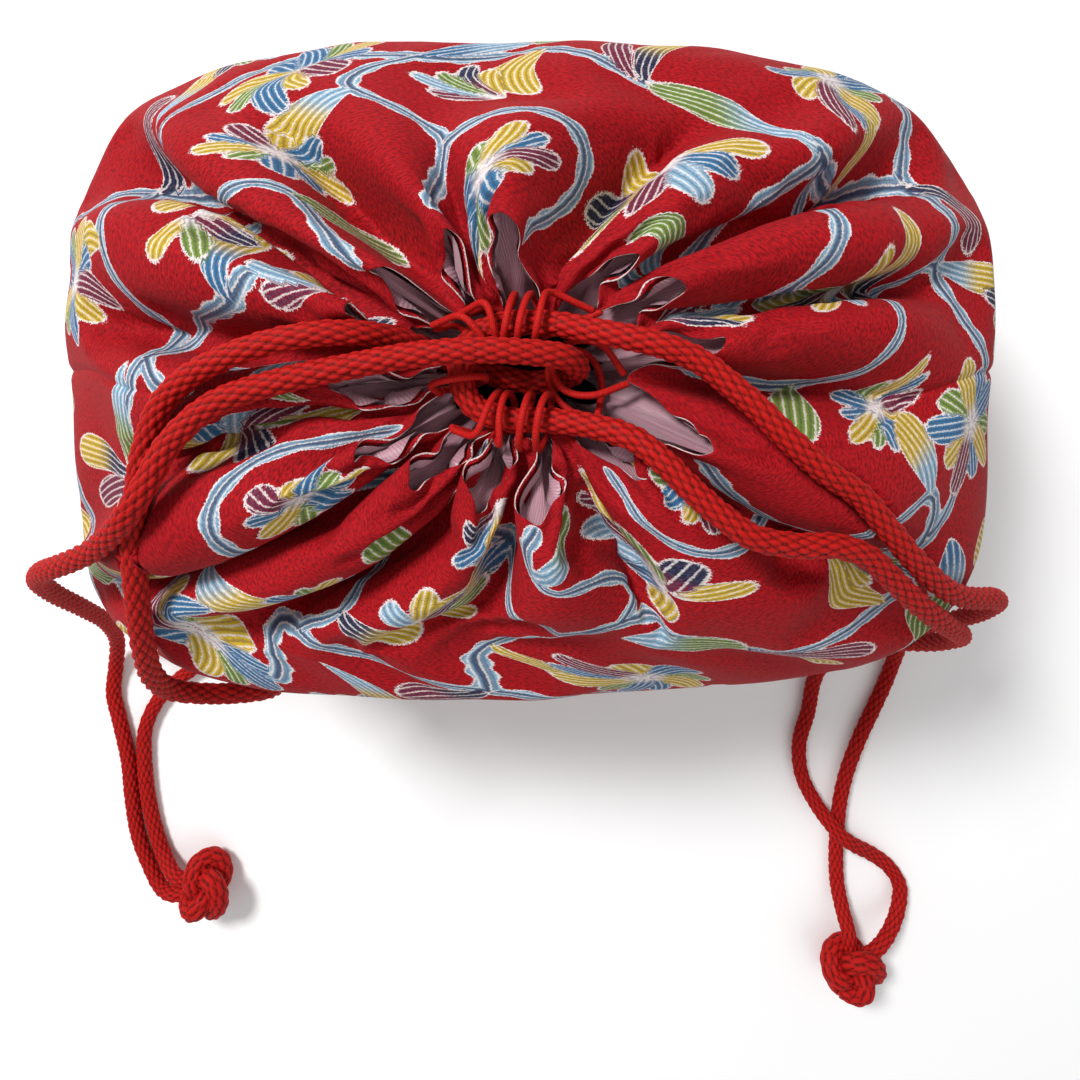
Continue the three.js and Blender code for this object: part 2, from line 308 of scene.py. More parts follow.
# ---- Finishes ----
class Nodes:
    """One material's nodes, added one at a time."""

    def __init__(self, name: str, roughness: float, sheen: float = 0.0, specular: float = 0.5) -> None:
        """Starts the material with its output and its surface shader.

        Args:
            name: the material's name.
            roughness: the surface's roughness all over.
            sheen: how much its nap catches the light.
            specular: how strong its gloss is.
        """
        self.material = bpy.data.materials.new(name)
        self.material.use_nodes = True
        self.tree = self.material.node_tree
        self.surface = self.tree.nodes["Principled BSDF"].inputs
        self.surface["Roughness"].default_value = roughness
        self.surface["Sheen Weight"].default_value = sheen
        self.surface["Specular IOR Level"].default_value = specular

    def add(self, kind: str, links: dict | None = None, **settings: object) -> bpy.types.Node:
        """Adds a node with its settings and what feeds it.

        Args:
            kind: the node's class, without ShaderNode.
            links: input name or number to an output socket, or to a plain value.
            settings: the node's own properties.

        Returns:
            The node.
        """
        made = self.tree.nodes.new("ShaderNode" + kind)
        for key, value in settings.items():
            setattr(made, key, value)
        for key, value in (links or {}).items():
            self.feed(made.inputs[key], value)
        return made

    def feed(self, socket: bpy.types.NodeSocket, value: object) -> None:
        """Links a socket to another, or sets its plain value or its hex colour."""
        if isinstance(value, bpy.types.NodeSocket):
            self.tree.links.new(value, socket)
        else:
            socket.default_value = linear(value) if isinstance(value, str) else value

    def math(self, operation: str, *values: object) -> bpy.types.NodeSocket:
        """Works out one sum of sockets or numbers and gives its result."""
        return self.add("Math", dict(enumerate(values)), operation=operation).outputs[0]

    def mix(self, share: object, first: object, second: object) -> bpy.types.NodeSocket:
        """Blends two colours by a share and gives the colour."""
        return self.add("Mix", {0: share, 6: first, 7: second}, data_type="RGBA").outputs[2]

    def ramp(self, value: object, *stops: tuple[float, float]) -> bpy.types.NodeSocket:
        """Maps a value between two stops, each an input and its output, without going past them."""
        (low, low_out), (high, high_out) = stops
        return self.add("MapRange", {0: value, 1: low, 2: high, 3: low_out, 4: high_out}).outputs[0]

    def shade(
        self,
        value: bpy.types.NodeSocket,
        start: tuple[float, float],
        end: tuple[float, float],
        first: object,
        second: object,
    ) -> bpy.types.NodeSocket:
        """Passes from one colour towards another as a value runs between two stops.

        Args:
            value: what drives the change.
            start: the value at the first stop, and the second colour's share there.
            end: the same at the last stop.
            first: a colour, as a socket or as hex digits.
            second: the other colour.

        Returns:
            The colour.
        """
        return self.mix(self.ramp(value, start, end), first, second)

    def place(self, cloth: bool = True) -> bpy.types.NodeSocket:
        """Where a spot is, in metres: on the flat cloth or the cord, or else in the object's own space."""
        if cloth:
            return self.add("UVMap", uv_map="cloth").outputs[0]
        return self.add("TexCoord").outputs["Object"]

    def noise(
        self, place: bpy.types.NodeSocket, cell_mm: Point, detail: float = 2.0, turn: float = 0.0
    ) -> bpy.types.NodeSocket:
        """Smooth noise from 0 to 1.

        Args:
            place: where a spot is, in metres.
            cell_mm: the size of one cell of the noise in each direction.
            detail: how many finer layers lie over it.
            turn: how far the cells are turned in the cloth's plane, in radians.

        Returns:
            The noise.
        """
        scale = tuple(1 / (cell * MM) for cell in cell_mm)
        cells = self.add("Mapping", {0: place, 2: (0.0, 0.0, turn), 3: scale}).outputs[0]
        return self.add("TexNoise", {"Vector": cells, "Scale": 1.0, "Detail": detail}).outputs[0]

    def finish(self, colour: object, relief: object = None, depth_mm: float = 0.0) -> bpy.types.Material:
        """Sets the colour and the relief, and gives the material.

        Args:
            colour: the base colour, a socket or a plain value.
            relief: the height of the surface's small shapes, from 0 to about 1.
            depth_mm: how high a relief of 1 stands.

        Returns:
            The material.
        """
        self.feed(self.surface["Base Color"], colour)
        if relief is not None:
            bump = self.add("Bump", {"Height": relief, "Strength": 1.0, "Distance": depth_mm * MM})
            self.feed(self.surface["Normal"], bump.outputs[0])
        return self.material


@dataclass(frozen=True)
class PrintedCrepe:
    """Chirimen, a polyester crepe with a pebbled grain of short kinks, screen-printed in flat dyes.

    Its matt grain breaks every highlight up, and the print keeps a white serrated rim.
    """

    kink_mm: Point = (1.15, 0.5, 1.0)
    thread_mm: Point = (0.5, 0.26, 1.0)
    rim_stroke_mm: float = 1.3
    petal_stroke_mm: float = 1.7

    def ground(self, make: Nodes, grain: bpy.types.NodeSocket) -> bpy.types.NodeSocket:
        """The dyed red between the printed shapes, with shade painted darker in the grain's hollows."""
        cloud = make.noise(make.place(), (22.0, 22.0, 22.0))
        # Painted shade: the red darkens where the grain's relief is low, in its hollows.
        red = make.shade(grain, (0.36, 0.0), (0.62, 1.0), "72060E", "B00E18")
        return make.shade(cloud, (0.35, 0.0), (0.7, 0.3), red, "940B17")

    def figure(
        self, make: Nodes, grain: bpy.types.NodeSocket, worn: bpy.types.NodeSocket
    ) -> bpy.types.NodeSocket:
        """The dyes inside a printed shape, with broken strokes of white and of navy along each petal.

        Args:
            make: the material being made.
            grain: the crepe's kinks.
            worn: fine unevenness, about zero.

        Returns:
            The colour.
        """
        dye = make.add("Attribute", attribute_name="print_dye").outputs["Color"]
        lie = make.add("Attribute", attribute_name="print_stitch").outputs["Vector"]
        across = make.add("SeparateXYZ", {0: lie}).outputs[1]
        sway = make.math("MULTIPLY", make.math("SUBTRACT", grain, 0.5), 2.6)
        turns = make.math("MULTIPLY", across, 2 * math.pi / self.petal_stroke_mm)
        stroke = make.math("SINE", make.math("ADD", turns, sway))
        broken = make.math("ADD", stroke, worn)
        toned = make.shade(broken, (-1.0, 0.5), (-0.4, 0.0), dye, "26304A")
        return make.shade(broken, (0.55, 0.0), (0.95, 0.75), toned, "E8E2DE")

    def material(self) -> bpy.types.Material:
        """Mixes the ground, the printed shapes and their rims.

        Returns:
            The cloth with its print.
        """
        make = Nodes("printed_chirimen_crepe", roughness=0.78, sheen=0.05, specular=0.16)
        make.surface["Sheen Roughness"].default_value = 0.45
        make.surface["Sheen Tint"].default_value = linear("D98080")
        grain = make.noise(make.place(), self.kink_mm)
        fleck = make.noise(make.place(), self.thread_mm, detail=1.0)
        lie = make.add("Attribute", attribute_name="print_stitch").outputs["Vector"]
        along = make.add("SeparateXYZ", {0: lie}).outputs[0]
        # Each printed shape has a rim of short strokes, about one to the millimetre.
        strokes = make.math("SINE", make.math("MULTIPLY", along, 2 * math.pi / self.rim_stroke_mm))
        worn = make.math("MULTIPLY", make.math("SUBTRACT", fleck, 0.5), 0.95)
        edge = make.add("Attribute", attribute_name="print_edge").outputs["Fac"]
        ragged = make.math("ADD", edge, make.math("ADD", make.math("MULTIPLY", strokes, 0.07), worn))
        inner = self.figure(make, grain, worn)
        shape = make.shade(ragged, (0.26, 0.0), (0.4, 1.0), "E6DCDC", inner)
        # Painted shade: the printed shapes go a greyish mauve in the grain's hollows, where its relief is
        # low.
        shape = make.shade(grain, (0.3, 0.35), (0.55, 0.0), shape, "7A6468")
        colour = make.shade(ragged, (0.0, 0.0), (0.1, 1.0), self.ground(make, grain), shape)
        relief = make.math("ADD", grain, make.math("MULTIPLY", fleck, 0.35))
        return make.finish(colour, relief, 0.245)


@dataclass(frozen=True)
class PlainCrepe:
    """The same crepe without its print, for the bottom."""

    kink_mm: Point = (1.5, 0.62, 1.0)

    def material(self) -> bpy.types.Material:
        """The cloth, read in the object's own space."""
        make = Nodes("plain_chirimen_crepe", roughness=0.8, specular=0.2)
        grain = make.noise(make.place(cloth=False), self.kink_mm)
        # Painted shade: the red darkens in the grain's hollows, where its relief is low.
        red = make.shade(grain, (0.38, 0.0), (0.62, 1.0), "72060E", "B00E18")
        return make.finish(red, grain, 0.18)


@dataclass(frozen=True)
class SatinTwill:
    """Polyester satin twill: long floats that lie on a slant and give the lining a soft gloss."""

    wale_mm: float = 0.9

    def material(self) -> bpy.types.Material:
        """Lays the twill's slanting wales over its cloudy dye, with shade painted into their troughs.

        Returns:
            The lining's cloth.
        """
        make = Nodes("mauve_satin_twill", roughness=0.42, sheen=0.2)
        across, up, _ = make.add("SeparateXYZ", {0: make.place()}).outputs
        slant = make.math("ADD", across, make.math("MULTIPLY", up, 0.6))
        wale = make.math("SINE", make.math("MULTIPLY", slant, 2 * math.pi / (self.wale_mm * MM)))
        cloud = make.noise(make.place(), (16.0, 16.0, 16.0), detail=3.0)
        tone = make.shade(cloud, (0.3, 0.0), (0.7, 1.0), "9C707C", "B98C97")
        # Painted shade: darker in the troughs of the wales, the low lines of the relief.
        tone = make.shade(wale, (-1.0, 0.3), (0.2, 0.0), tone, "7E5260")
        return make.finish(tone, wale, 0.042)


@dataclass(frozen=True)
class BraidedCord:
    """Dull acrylic round braid: plump strands, with shade painted as a dark line where one dives under the
    next.
    """

    fibre_mm: Point = (1.6, 0.16, 1.0)

    def material(self) -> bpy.types.Material:
        """The drawstrings' braid, read from the cord's own strands, with painted shade in their grooves and
        a painted highlight on raised fibres.
        """
        make = Nodes("red_acrylic_braid", roughness=0.66, sheen=0.02, specular=0.14)
        plump = make.add("Attribute", attribute_name="strand").outputs["Fac"]
        fibre = make.noise(make.place(), self.fibre_mm, turn=0.5)
        # Painted shade: near black in the grooves between strands, where the strand attribute is low.
        tone = make.shade(plump, (0.14, 0.0), (0.66, 1.0), "380102", "B00F0B")
        # Painted highlight: paler where the fibre relief stands up.
        tone = make.shade(fibre, (0.35, 0.0), (0.7, 0.3), tone, "BE241C")
        return make.finish(tone, fibre, 0.035)


@dataclass(frozen=True)
class ThinCord:
    """A thin soft-twist acrylic cord: fine slanting strands, a little brighter than the braid."""

    fibre_mm: Point = (0.5, 2.5, 1.0)

    def material(self) -> bpy.types.Material:
        """The hem loops' cord, with painted shade in its grooves and a painted highlight on raised fibres.
        """
        make = Nodes("red_twisted_acrylic", roughness=0.66, sheen=0.02, specular=0.15)
        plump = make.add("Attribute", attribute_name="strand").outputs["Fac"]
        fibre = make.noise(make.place(), self.fibre_mm, detail=1.0, turn=0.35)
        # Painted shade: dark in the grooves between strands, where the strand attribute is low.
        tone = make.shade(plump, (0.1, 0.0), (0.7, 1.0), "6E0508", "BE120F")
        # Painted highlight: paler where the fibre relief stands up.
        tone = make.shade(fibre, (0.35, 0.0), (0.7, 0.3), tone, "CC2A20")
        return make.finish(tone, fibre, 0.04)


@dataclass(frozen=True)
class GreyCard:
    """Recycled grey board, the stiffener in the bottom, with darker fibres in it."""

    fibre_mm: Point = (1.1, 1.1, 1.1)

    def material(self) -> bpy.types.Material:
        """The board."""
        make = Nodes("recycled_grey_card", roughness=0.92)
        fibre = make.noise(make.place(cloth=False), self.fibre_mm, detail=4.0)
        tone = make.shade(fibre, (0.3, 0.0), (0.7, 1.0), "7E766B", "A0978A")
        return make.finish(tone)


@dataclass(frozen=True)
class TableTop:
    """A smooth white painted table top."""

    haze_mm: Point = (170.0, 170.0, 170.0)

    def material(self) -> bpy.types.Material:
        """The paint."""
        make = Nodes("white_painted_table", roughness=0.75)
        haze = make.noise(make.place(cloth=False), self.haze_mm)
        return make.finish(make.mix(haze, "FAFAFA", "FDFDFD"))


# ---- The cloth's shape ----
@dataclass(frozen=True)
class Pleat:
    """A fold line: a hem loop pulls the cloth in there, and a crease runs out from it."""

    hem_deg: float
    outer_deg: float
    reach: float
    pull: float = 1.0
    hem_pull: float = 1.0
    lean: float = 0.0
    stitched: bool = True


PLEATS = (
    Pleat(-2, -5, 0.100, 0.9, 0.85, lean=3.0),
    Pleat(18, 11, 0.104, 1.0, 0.8, lean=-4.0, stitched=False),
    Pleat(42, 27, 0.116, 1.2, 0.8, lean=-5.0),
    Pleat(68, 46, 0.094, 1.1, 1.1, lean=4.0),
    Pleat(112, 106, 0.072, 1.0, 1.15, lean=-3.0),
    Pleat(136, 134, 0.094, 1.1, 0.9, lean=4.0),
    Pleat(155, 152, 0.120, 1.15, 0.8, lean=-4.0),
    Pleat(174, 173, 0.108, 1.0, 1.0, lean=4.0, stitched=False),
    Pleat(193, 195, 0.100, 0.9, 0.95, lean=3.0),
    Pleat(217, 207, 0.120, 1.1, 0.8, lean=-3.0),
    Pleat(242, 219, 0.108, 1.0, 1.0, lean=-4.0),
    Pleat(267, 243, 0.080, 0.8, 1.15, lean=2.0),
    Pleat(294, 299, 0.096, 1.1, 1.05, lean=4.0),
    Pleat(324, 331, 0.104, 1.1, 0.85, lean=-4.0),
)


# Where the folding changes on its way up: the half width at which each change starts and ends.
LINES_SWING = (0.125, 0.052)
LOBES_PINCH = (0.124, 0.088)
LOBES_OPEN = (0.078, 0.046)
FOLDS_TURN_IN = (0.086, 0.052)
SEAMS_DRIFT = (0.12, 0.05)
# How far the two side seams have drifted round the hem, in degrees.
SEAM_DRIFT_DEG = (-14, 3)


@dataclass
class GatheredCloth:
    """The cloth of the pouch as a grid of threads: columns run up it, and rows run round it."""

    flat_width: float = 0.745
    profile: tuple[tuple[float, float], ...] = (
        (0.110, 0.0004),
        (0.1145, 0.003),
        (0.118, 0.012),
        (0.1242, 0.05),
        (0.1285, 0.084),
        (0.127, 0.106),
        (0.1195, 0.122),
        (0.107, 0.1335),
        (0.092, 0.1425),
        (0.076, 0.149),
        (0.059, 0.1535),
        (0.044, 0.156),
    )
    hem_half: tuple[float, float] = (0.044, 0.033)
    full_half: tuple[float, float] = (0.1285, 0.0895)
    boxiness: float = 1.9
    most_pinch: float = 0.86
    deepest_fold: float = 0.030
    columns: int = 200
    rows: int = 60
    samples: int = 160
    places: np.ndarray = field(init=False)
    flat_height: float = field(init=False)
    half_width: np.ndarray = field(init=False)
    height: np.ndarray = field(init=False)
    out: np.ndarray = field(init=False)
    over: np.ndarray = field(init=False)

    def __post_init__(self) -> None:
        """Works the folded shape out."""
        line = even_path(np.array([(a, 0.0, z) for a, z in self.profile]), self.rows + 1)
        self.flat_height = path_length(line)
        self.half_width, self.height = line[:, 0], line[:, 2]
        slope = np.gradient(line, axis=0)
        slope /= np.linalg.norm(slope, axis=1, keepdims=True)
        self.out = np.stack([slope[:, 2], -slope[:, 0]], axis=1)
        self.over = np.arange(self.rows + 1) > int(np.argmax(self.half_width))
        self.places = np.array([self.ring(row) for row in range(self.rows + 1)])

    def half_depth(self, half_width: float) -> float:
        """The half depth of the ring with this half width."""
        share = (half_width - self.hem_half[0]) / (self.full_half[0] - self.hem_half[0])
        return self.hem_half[1] + share * (self.full_half[1] - self.hem_half[1])

    def squareness(self, row: int) -> float:
        """The exponent of a ring's rounded rectangle: boxy below, an ellipse at the hem."""
        if not self.over[row]:
            return 2.0 + self.boxiness
        share = (self.half_width[row] - self.hem_half[0]) / (self.full_half[0] - self.hem_half[0])
        return 2.0 + self.boxiness * share**1.5

    def stage(self, row: int, span: tuple[float, float]) -> float:
        """How far a change has come at a ring, from 0 to 1. It is 0 up to the fullest ring.

        Args:
            row: the ring's row.
            span: the half widths at which the change starts and ends.

        Returns:
            The share of the change.
        """
        return float(smoothstep(*span, self.half_width[row])) if self.over[row] else 0.0

    def dense_ring(self, row: int, depth: float) -> np.ndarray:
        """One ring at a fold depth, as many points with the angle of each.

        Args:
            row: the ring's row.
            depth: how far the deepest fold line lies inside the ring's outline.

        Returns:
            Rows of x, y, z and the polar angle.
        """
        a, z = self.half_width[row], self.height[row]
        b, power = self.half_depth(a), self.squareness(row)
        turn = self.stage(row, LINES_SWING)
        pinch = self.most_pinch * (self.stage(row, LOBES_PINCH) * (1 - 0.95 * self.stage(row, LOBES_OPEN)))
        lines = [math.radians(p.outer_deg + (p.hem_deg - p.outer_deg) * turn) for p in PLEATS]
        pulls = [
            (p.pull + (p.hem_pull - p.pull) * turn) * self.stage(row, (p.reach + 0.008, p.reach - 0.024))
            for p in PLEATS
        ]
        lines.append(lines[0] + 2 * math.pi)
        pulls.append(pulls[0])
        t = np.linspace(0, 1, self.samples, endpoint=False)
        eased = smoothstep(0.0, 1.0, t)
        angle, sink, swell, lean = [], [], [], []
        for i in range(len(PLEATS)):
            span = lines[i + 1] - lines[i]
            angle.append(lines[i] + span * (t - pinch / (2 * math.pi) * np.sin(2 * math.pi * t)))
            sink.append((pulls[i] * (1 - eased) + pulls[i + 1] * eased) * (1 + np.cos(2 * math.pi * t)) / 2)
            crest = np.sin(math.pi * t) ** 2 * max(pulls[i], pulls[i + 1])
            swell.append(crest * self.swell(i))
            lean.append(crest * PLEATS[i].lean * MM)
        angle, sink, swell, lean = (np.concatenate(part) for part in (angle, sink, swell, lean))
        cos, sin = np.cos(angle), np.sin(angle)
        radius = (np.abs(cos / a) ** power + np.abs(sin / b) ** power) ** (-1 / power)
        # On the shoulder a fold sinks square to the cloth, and by the mouth in towards its middle.
        inward = self.stage(row, FOLDS_TURN_IN)
        way = -(1 - inward) * self.out[row] + inward * np.array((-0.92, -0.38))
        way /= np.linalg.norm(way)
        sink = sink * (1 + inward * (radius / self.half_depth(a) - 1))
        reach = sink * depth * way[0] + swell * self.out[row][0]
        lift = sink * depth * way[1] + swell * self.out[row][1]
        x, y = (radius + reach) * cos - lean * sin, (radius + reach) * sin + lean * cos
        return np.stack([x, y, z + lift, angle], axis=1)

    @staticmethod
    def swell(lobe: int) -> float:
        """How far a lobe's crest stands up, which differs from lobe to lobe."""
        return (4.6 + 2.0 * math.sin(2.4 * lobe + 0.7)) * MM

    def ring(self, row: int) -> np.ndarray:
        """Folds one ring of the cloth until it holds the cloth's whole width.

        Args:
            row: the ring's row.

        Returns:
            Its places, at even threads from one side seam to the other and back.
        """
        # Halving the range again and again finds the depth that takes up the whole width.
        low, high = 0.0, self.deepest_fold
        for _ in range(18):
            depth = (low + high) / 2
            dense = self.dense_ring(row, depth)
            round_it = path_length(np.vstack([dense[:, :3], dense[:1, :3]]))
            low, high = (depth, high) if round_it < self.flat_width else (low, depth)
        drift = self.stage(row, SEAMS_DRIFT)
        right, left = SEAM_DRIFT_DEG
        seams = (math.radians(right * drift), math.radians(180 + left * drift))
        ends = (*seams, seams[0] + 2 * math.pi)
        full_turn = np.array((0, 0, 0, 2 * math.pi))
        closed = np.vstack([dense, dense[:1] + full_turn])
        run = np.concatenate([[0], np.cumsum(np.linalg.norm(np.diff(closed[:, :3], axis=0), axis=1))])
        total = run[-1]
        run = np.concatenate([run - total, run[1:], run[1:] + total])
        closed = np.vstack([closed - full_turn, closed[1:], closed[1:] + full_turn])
        marks = np.interp(ends, closed[:, 3], run)
        half = self.columns // 2
        spans = zip(marks, marks[1:])
        wanted = np.concatenate([np.linspace(*span, half, endpoint=False) for span in spans])
        return np.stack([np.interp(wanted, run, closed[:, k]) for k in range(3)], axis=1)

    def normals(self, places: np.ndarray) -> np.ndarray:
        """The outward direction at each place of a grid that closes on itself."""
        round_it = np.roll(places, -1, axis=1) - np.roll(places, 1, axis=1)
        up_it = np.gradient(places, axis=0)
        normal = np.cross(round_it, up_it)
        return normal / np.maximum(np.linalg.norm(normal, axis=2, keepdims=True), 1e-9)

    def refined(self, places: np.ndarray, times: int) -> np.ndarray:
        """Adds threads between the grid's own along smooth curves.

        Args:
            places: rows by columns by 3, closed round the columns.
            times: how many steps each cell becomes.

        Returns:
            The finer grid, with its first column repeated at its end.
        """
        t = (np.arange(times) / times)[:, None, None, None]
        weights = (
            (-t + 2 * t**2 - t**3) / 2,
            (2 - 5 * t**2 + 3 * t**3) / 2,
            (t + 4 * t**2 - 3 * t**3) / 2,
            (-(t**2) + t**3) / 2,
        )
        turned = [np.roll(places, shift, axis=1) for shift in (1, 0, -1, -2)]
        fine = sum(w * part[None] for w, part in zip(weights, turned))
        rows, columns = places.shape[:2]
        fine = fine.transpose(1, 2, 0, 3).reshape(rows, columns * times, 3)
        ends = np.concatenate([2 * fine[:1] - fine[1:2], fine, 2 * fine[-1:] - fine[-2:-1]])
        stacked = [ends[k : k + rows - 1] for k in range(4)]
        taller = sum(w * part[None] for w, part in zip(weights, stacked))
        taller = taller.transpose(1, 0, 2, 3).reshape((rows - 1) * times, columns * times, 3)
        taller = np.concatenate([taller, fine[-1:]])
        return np.concatenate([taller, taller[:, :1]], axis=1)


# ---- The print ----
class Dye(Enum):
    """The print's dyes."""

    YELLOW = "C9A81C"
    GREEN = "6E8A2A"
    SKY = "84ABC4"
    BLUE = "2E6F9A"
    SLATE = "3C5270"
    NAVY = "1A2140"
    WINE = "741233"
    WHITE = "DDD4D4"


# How far outside every shape bare cloth counts as, in millimetres.
BARE = -9.0


class PrintField:
    """What is printed at each thread crossing: how far inside a shape, its dye and its strokes.

    Places on the flat cloth are in millimetres: u runs round the pouch from the right-hand seam, and
    v runs from the base to the hem.
    """

    def __init__(self, rows: int, columns: int, width: float, height: float) -> None:
        """Starts with bare cloth.

        Args:
            rows: how many rows of threads.
            columns: how many columns.
            width: the flat width in millimetres.
            height: the flat height in millimetres.
        """
        self.across, self.upward = np.linspace(0, width, columns), np.linspace(0, height, rows)
        self.width = width
        self.edge = np.full((rows, columns), BARE)
        self.dye = np.zeros((rows, columns, 4))
        self.dye[..., 3] = 1.0
        self.stitch = np.zeros((rows, columns, 3))

    def window(self, u: float, v: float, reach: float) -> tuple[tuple, np.ndarray, np.ndarray]:
        """Finds the crossings near a place.

        Args:
            u: the place along the cloth.
            v: its height.
            reach: how far from it to look.

        Returns:
            Their indices, and their distances from the place along and up the cloth.
        """
        du = (self.across - u + self.width / 2) % self.width - self.width / 2
        dv = self.upward - v
        columns, rows = np.nonzero(np.abs(du) < reach)[0], np.nonzero(np.abs(dv) < reach)[0]
        grid_u, grid_v = np.meshgrid(du[columns], dv[rows])
        return np.ix_(rows, columns), grid_u, grid_v

    def lay(
        self, near: tuple, deep: np.ndarray, along: np.ndarray, side: np.ndarray, dye: np.ndarray
    ) -> None:
        """Prints one shape over what is there.

        Args:
            near: the crossings it may touch.
            deep: how far inside the shape each is, below zero outside it.
            along: distance along the shape's strokes.
            side: distance across them.
            dye: the linear colour at each.
        """
        edge, under, stitch = self.edge[near], self.dye[near], self.stitch[near]
        over = (deep > 0) | (deep > edge)
        edge[over], under[over] = deep[over], dye[over]
        stitch[over, 0], stitch[over, 1] = along[over], side[over]
        self.edge[near], self.dye[near], self.stitch[near] = edge, under, stitch

    def petal(
        self, u: float, v: float, turn: float, length: float, width: float, root: Dye, tip: Dye
    ) -> None:
        """Prints a petal that grows from a point, its dye passing from the root's to the tip's.

        Args:
            u: the point along the cloth.
            v: its height.
            turn: which way the petal grows, in degrees from along the cloth.
            length: its length.
            width: its width where it is widest.
            root: the dye where it starts.
            tip: the dye at its tip.
        """
        near, du, dv = self.window(u, v, length + 4)
        cos, sin = math.cos(math.radians(turn)), math.sin(math.radians(turn))
        along, side = du * cos + dv * sin, dv * cos - du * sin
        share = along / length
        half = width / 2 * (0.42 + 0.78 * np.clip(share, 0.02, 1))
        deep = (1 - np.hypot((share - 0.5) * 2, side / half)) * min(length, width) / 2
        # A white heart ends sooner than a root in a dye.
        span = (0.1, 0.34) if root is Dye.WHITE else (0.3, 0.62)
        blend = smoothstep(*span, share)[..., None]
        self.lay(near, deep, along, side, linear_row(root) * (1 - blend) + linear_row(tip) * blend)

    def vine(self, points: tuple[tuple[float, float], ...], width: float, core: Dye, rim: Dye) -> None:
        """Prints a winding stem through points, darker along its middle.

        Args:
            points: the places it winds through.
            width: its width.
            core: the dye along its middle.
            rim: the dye along its sides.
        """
        line = even_path(np.array([(u, v, 0.0) for u, v in points]), 6 * len(points))
        run = 0.0
        for (u0, v0, _), (u1, v1, _) in zip(line, line[1:]):
            step_u, step_v = u1 - u0, v1 - v0
            length = math.hypot(step_u, step_v)
            near, du, dv = self.window(u0, v0, length + width)
            t = np.clip((du * step_u + dv * step_v) / length**2, 0, 1)
            off = np.hypot(du - t * step_u, dv - t * step_v)
            share = smoothstep(0.15, 0.6, off / (width / 2))[..., None]
            dye = linear_row(core) * (1 - share) + linear_row(rim) * share
            wave = 0.35 * np.sin((run + t * length) * 0.8)
            deep = width / 2 + wave - off
            fresh = deep > self.edge[near]
            deep = np.where(fresh, deep, -np.inf)
            self.lay(near, deep, run + t * length, (du * step_v - dv * step_u) / length, dye)
            run += length


def linear_row(dye: Dye) -> np.ndarray:
    """A dye's linear colour as an array."""
    return np.array(linear(dye.value))


@dataclass(frozen=True)
class Leaf:
    """A leaf, bud or single petal at a place on the flat cloth."""

    u: float
    v: float
    turn: float
    length: float
    width: float
    root: Dye
    tip: Dye

    def draw(self, field: PrintField) -> None:
        """Prints it."""
        field.petal(self.u, self.v, self.turn, self.length, self.width, self.root, self.tip)


@dataclass(frozen=True)
class Daisy:
    """An open flower: petals all round, in turning dyes, with white strokes at its heart."""

    u: float
    v: float
    turn: float
    size: float
    dyes: tuple[Dye, ...] = (Dye.BLUE, Dye.YELLOW, Dye.GREEN, Dye.BLUE, Dye.YELLOW, Dye.WINE)
    petals: int = 10
    short: float = 0.86

    def draw(self, field: PrintField) -> None:
        """Prints it, the long petals over the short ones."""
        for k in (*range(0, self.petals, 2), *range(1, self.petals, 2)):
            tip = self.dyes[k % len(self.dyes)]
            size = self.size * (1.0 if k % 2 else self.short)
            way = self.turn + 360 * k / self.petals
            field.petal(self.u, self.v, way, size, size * 0.5, Dye.WHITE, tip)


@dataclass(frozen=True)
class Fan:
    """A half-open flower: petals fanned about one direction."""

    u: float
    v: float
    turn: float
    size: float
    spread: float
    dyes: tuple[Dye, ...] = (Dye.YELLOW, Dye.GREEN, Dye.NAVY, Dye.YELLOW, Dye.SKY)
    short: float = 0.84

    def draw(self, field: PrintField) -> None:
        """Prints it from its sides to its middle."""
        last = len(self.dyes) - 1
        for k in sorted(range(last + 1), key=lambda k: -abs(k - last / 2)):
            way = self.turn + self.spread * (k / last - 0.5)
            size = self.size * (1.0 if k % 2 else self.short)
            root = Dye.WINE if self.dyes[k] is Dye.NAVY else Dye.WHITE
            field.petal(self.u, self.v, way, size, self.size * 0.36, root, self.dyes[k])


@dataclass(frozen=True)
class Vine:
    """A stem that winds through places on the flat cloth, sometimes with a joint at its end."""

    places: tuple[tuple[float, float], ...]
    jointed: bool = False
    width: float = 4.4
    core: Dye = Dye.SLATE
    rim: Dye = Dye.SKY

    def draw(self, field: PrintField) -> None:
        """Prints the stem, with a knuckle at its end if it is jointed.

        Args:
            field: the cloth to print on.
        """
        field.vine(self.places, self.width, self.core, self.rim)
        if self.jointed:
            (u0, v0), (u1, v1) = self.places[-2:]
            way = math.degrees(math.atan2(v1 - v0, u1 - u0))
            field.petal(u1, v1, way + 180, 4.0, self.width * 1.7, Dye.SKY, Dye.SLATE)
            reach = self.width * 0.3
            u2, v2 = u1 + reach * math.cos(math.radians(way)), v1 + reach * math.sin(math.radians(way))
            field.petal(u2, v2, way, 5.0, self.width * 1.7, Dye.BLUE, Dye.SKY)


WIDE = (Dye.YELLOW, Dye.NAVY, Dye.GREEN, Dye.YELLOW, Dye.WINE, Dye.SKY, Dye.BLUE, Dye.YELLOW)
SHELL = (Dye.YELLOW, Dye.NAVY, Dye.GREEN, Dye.SKY, Dye.WINE)


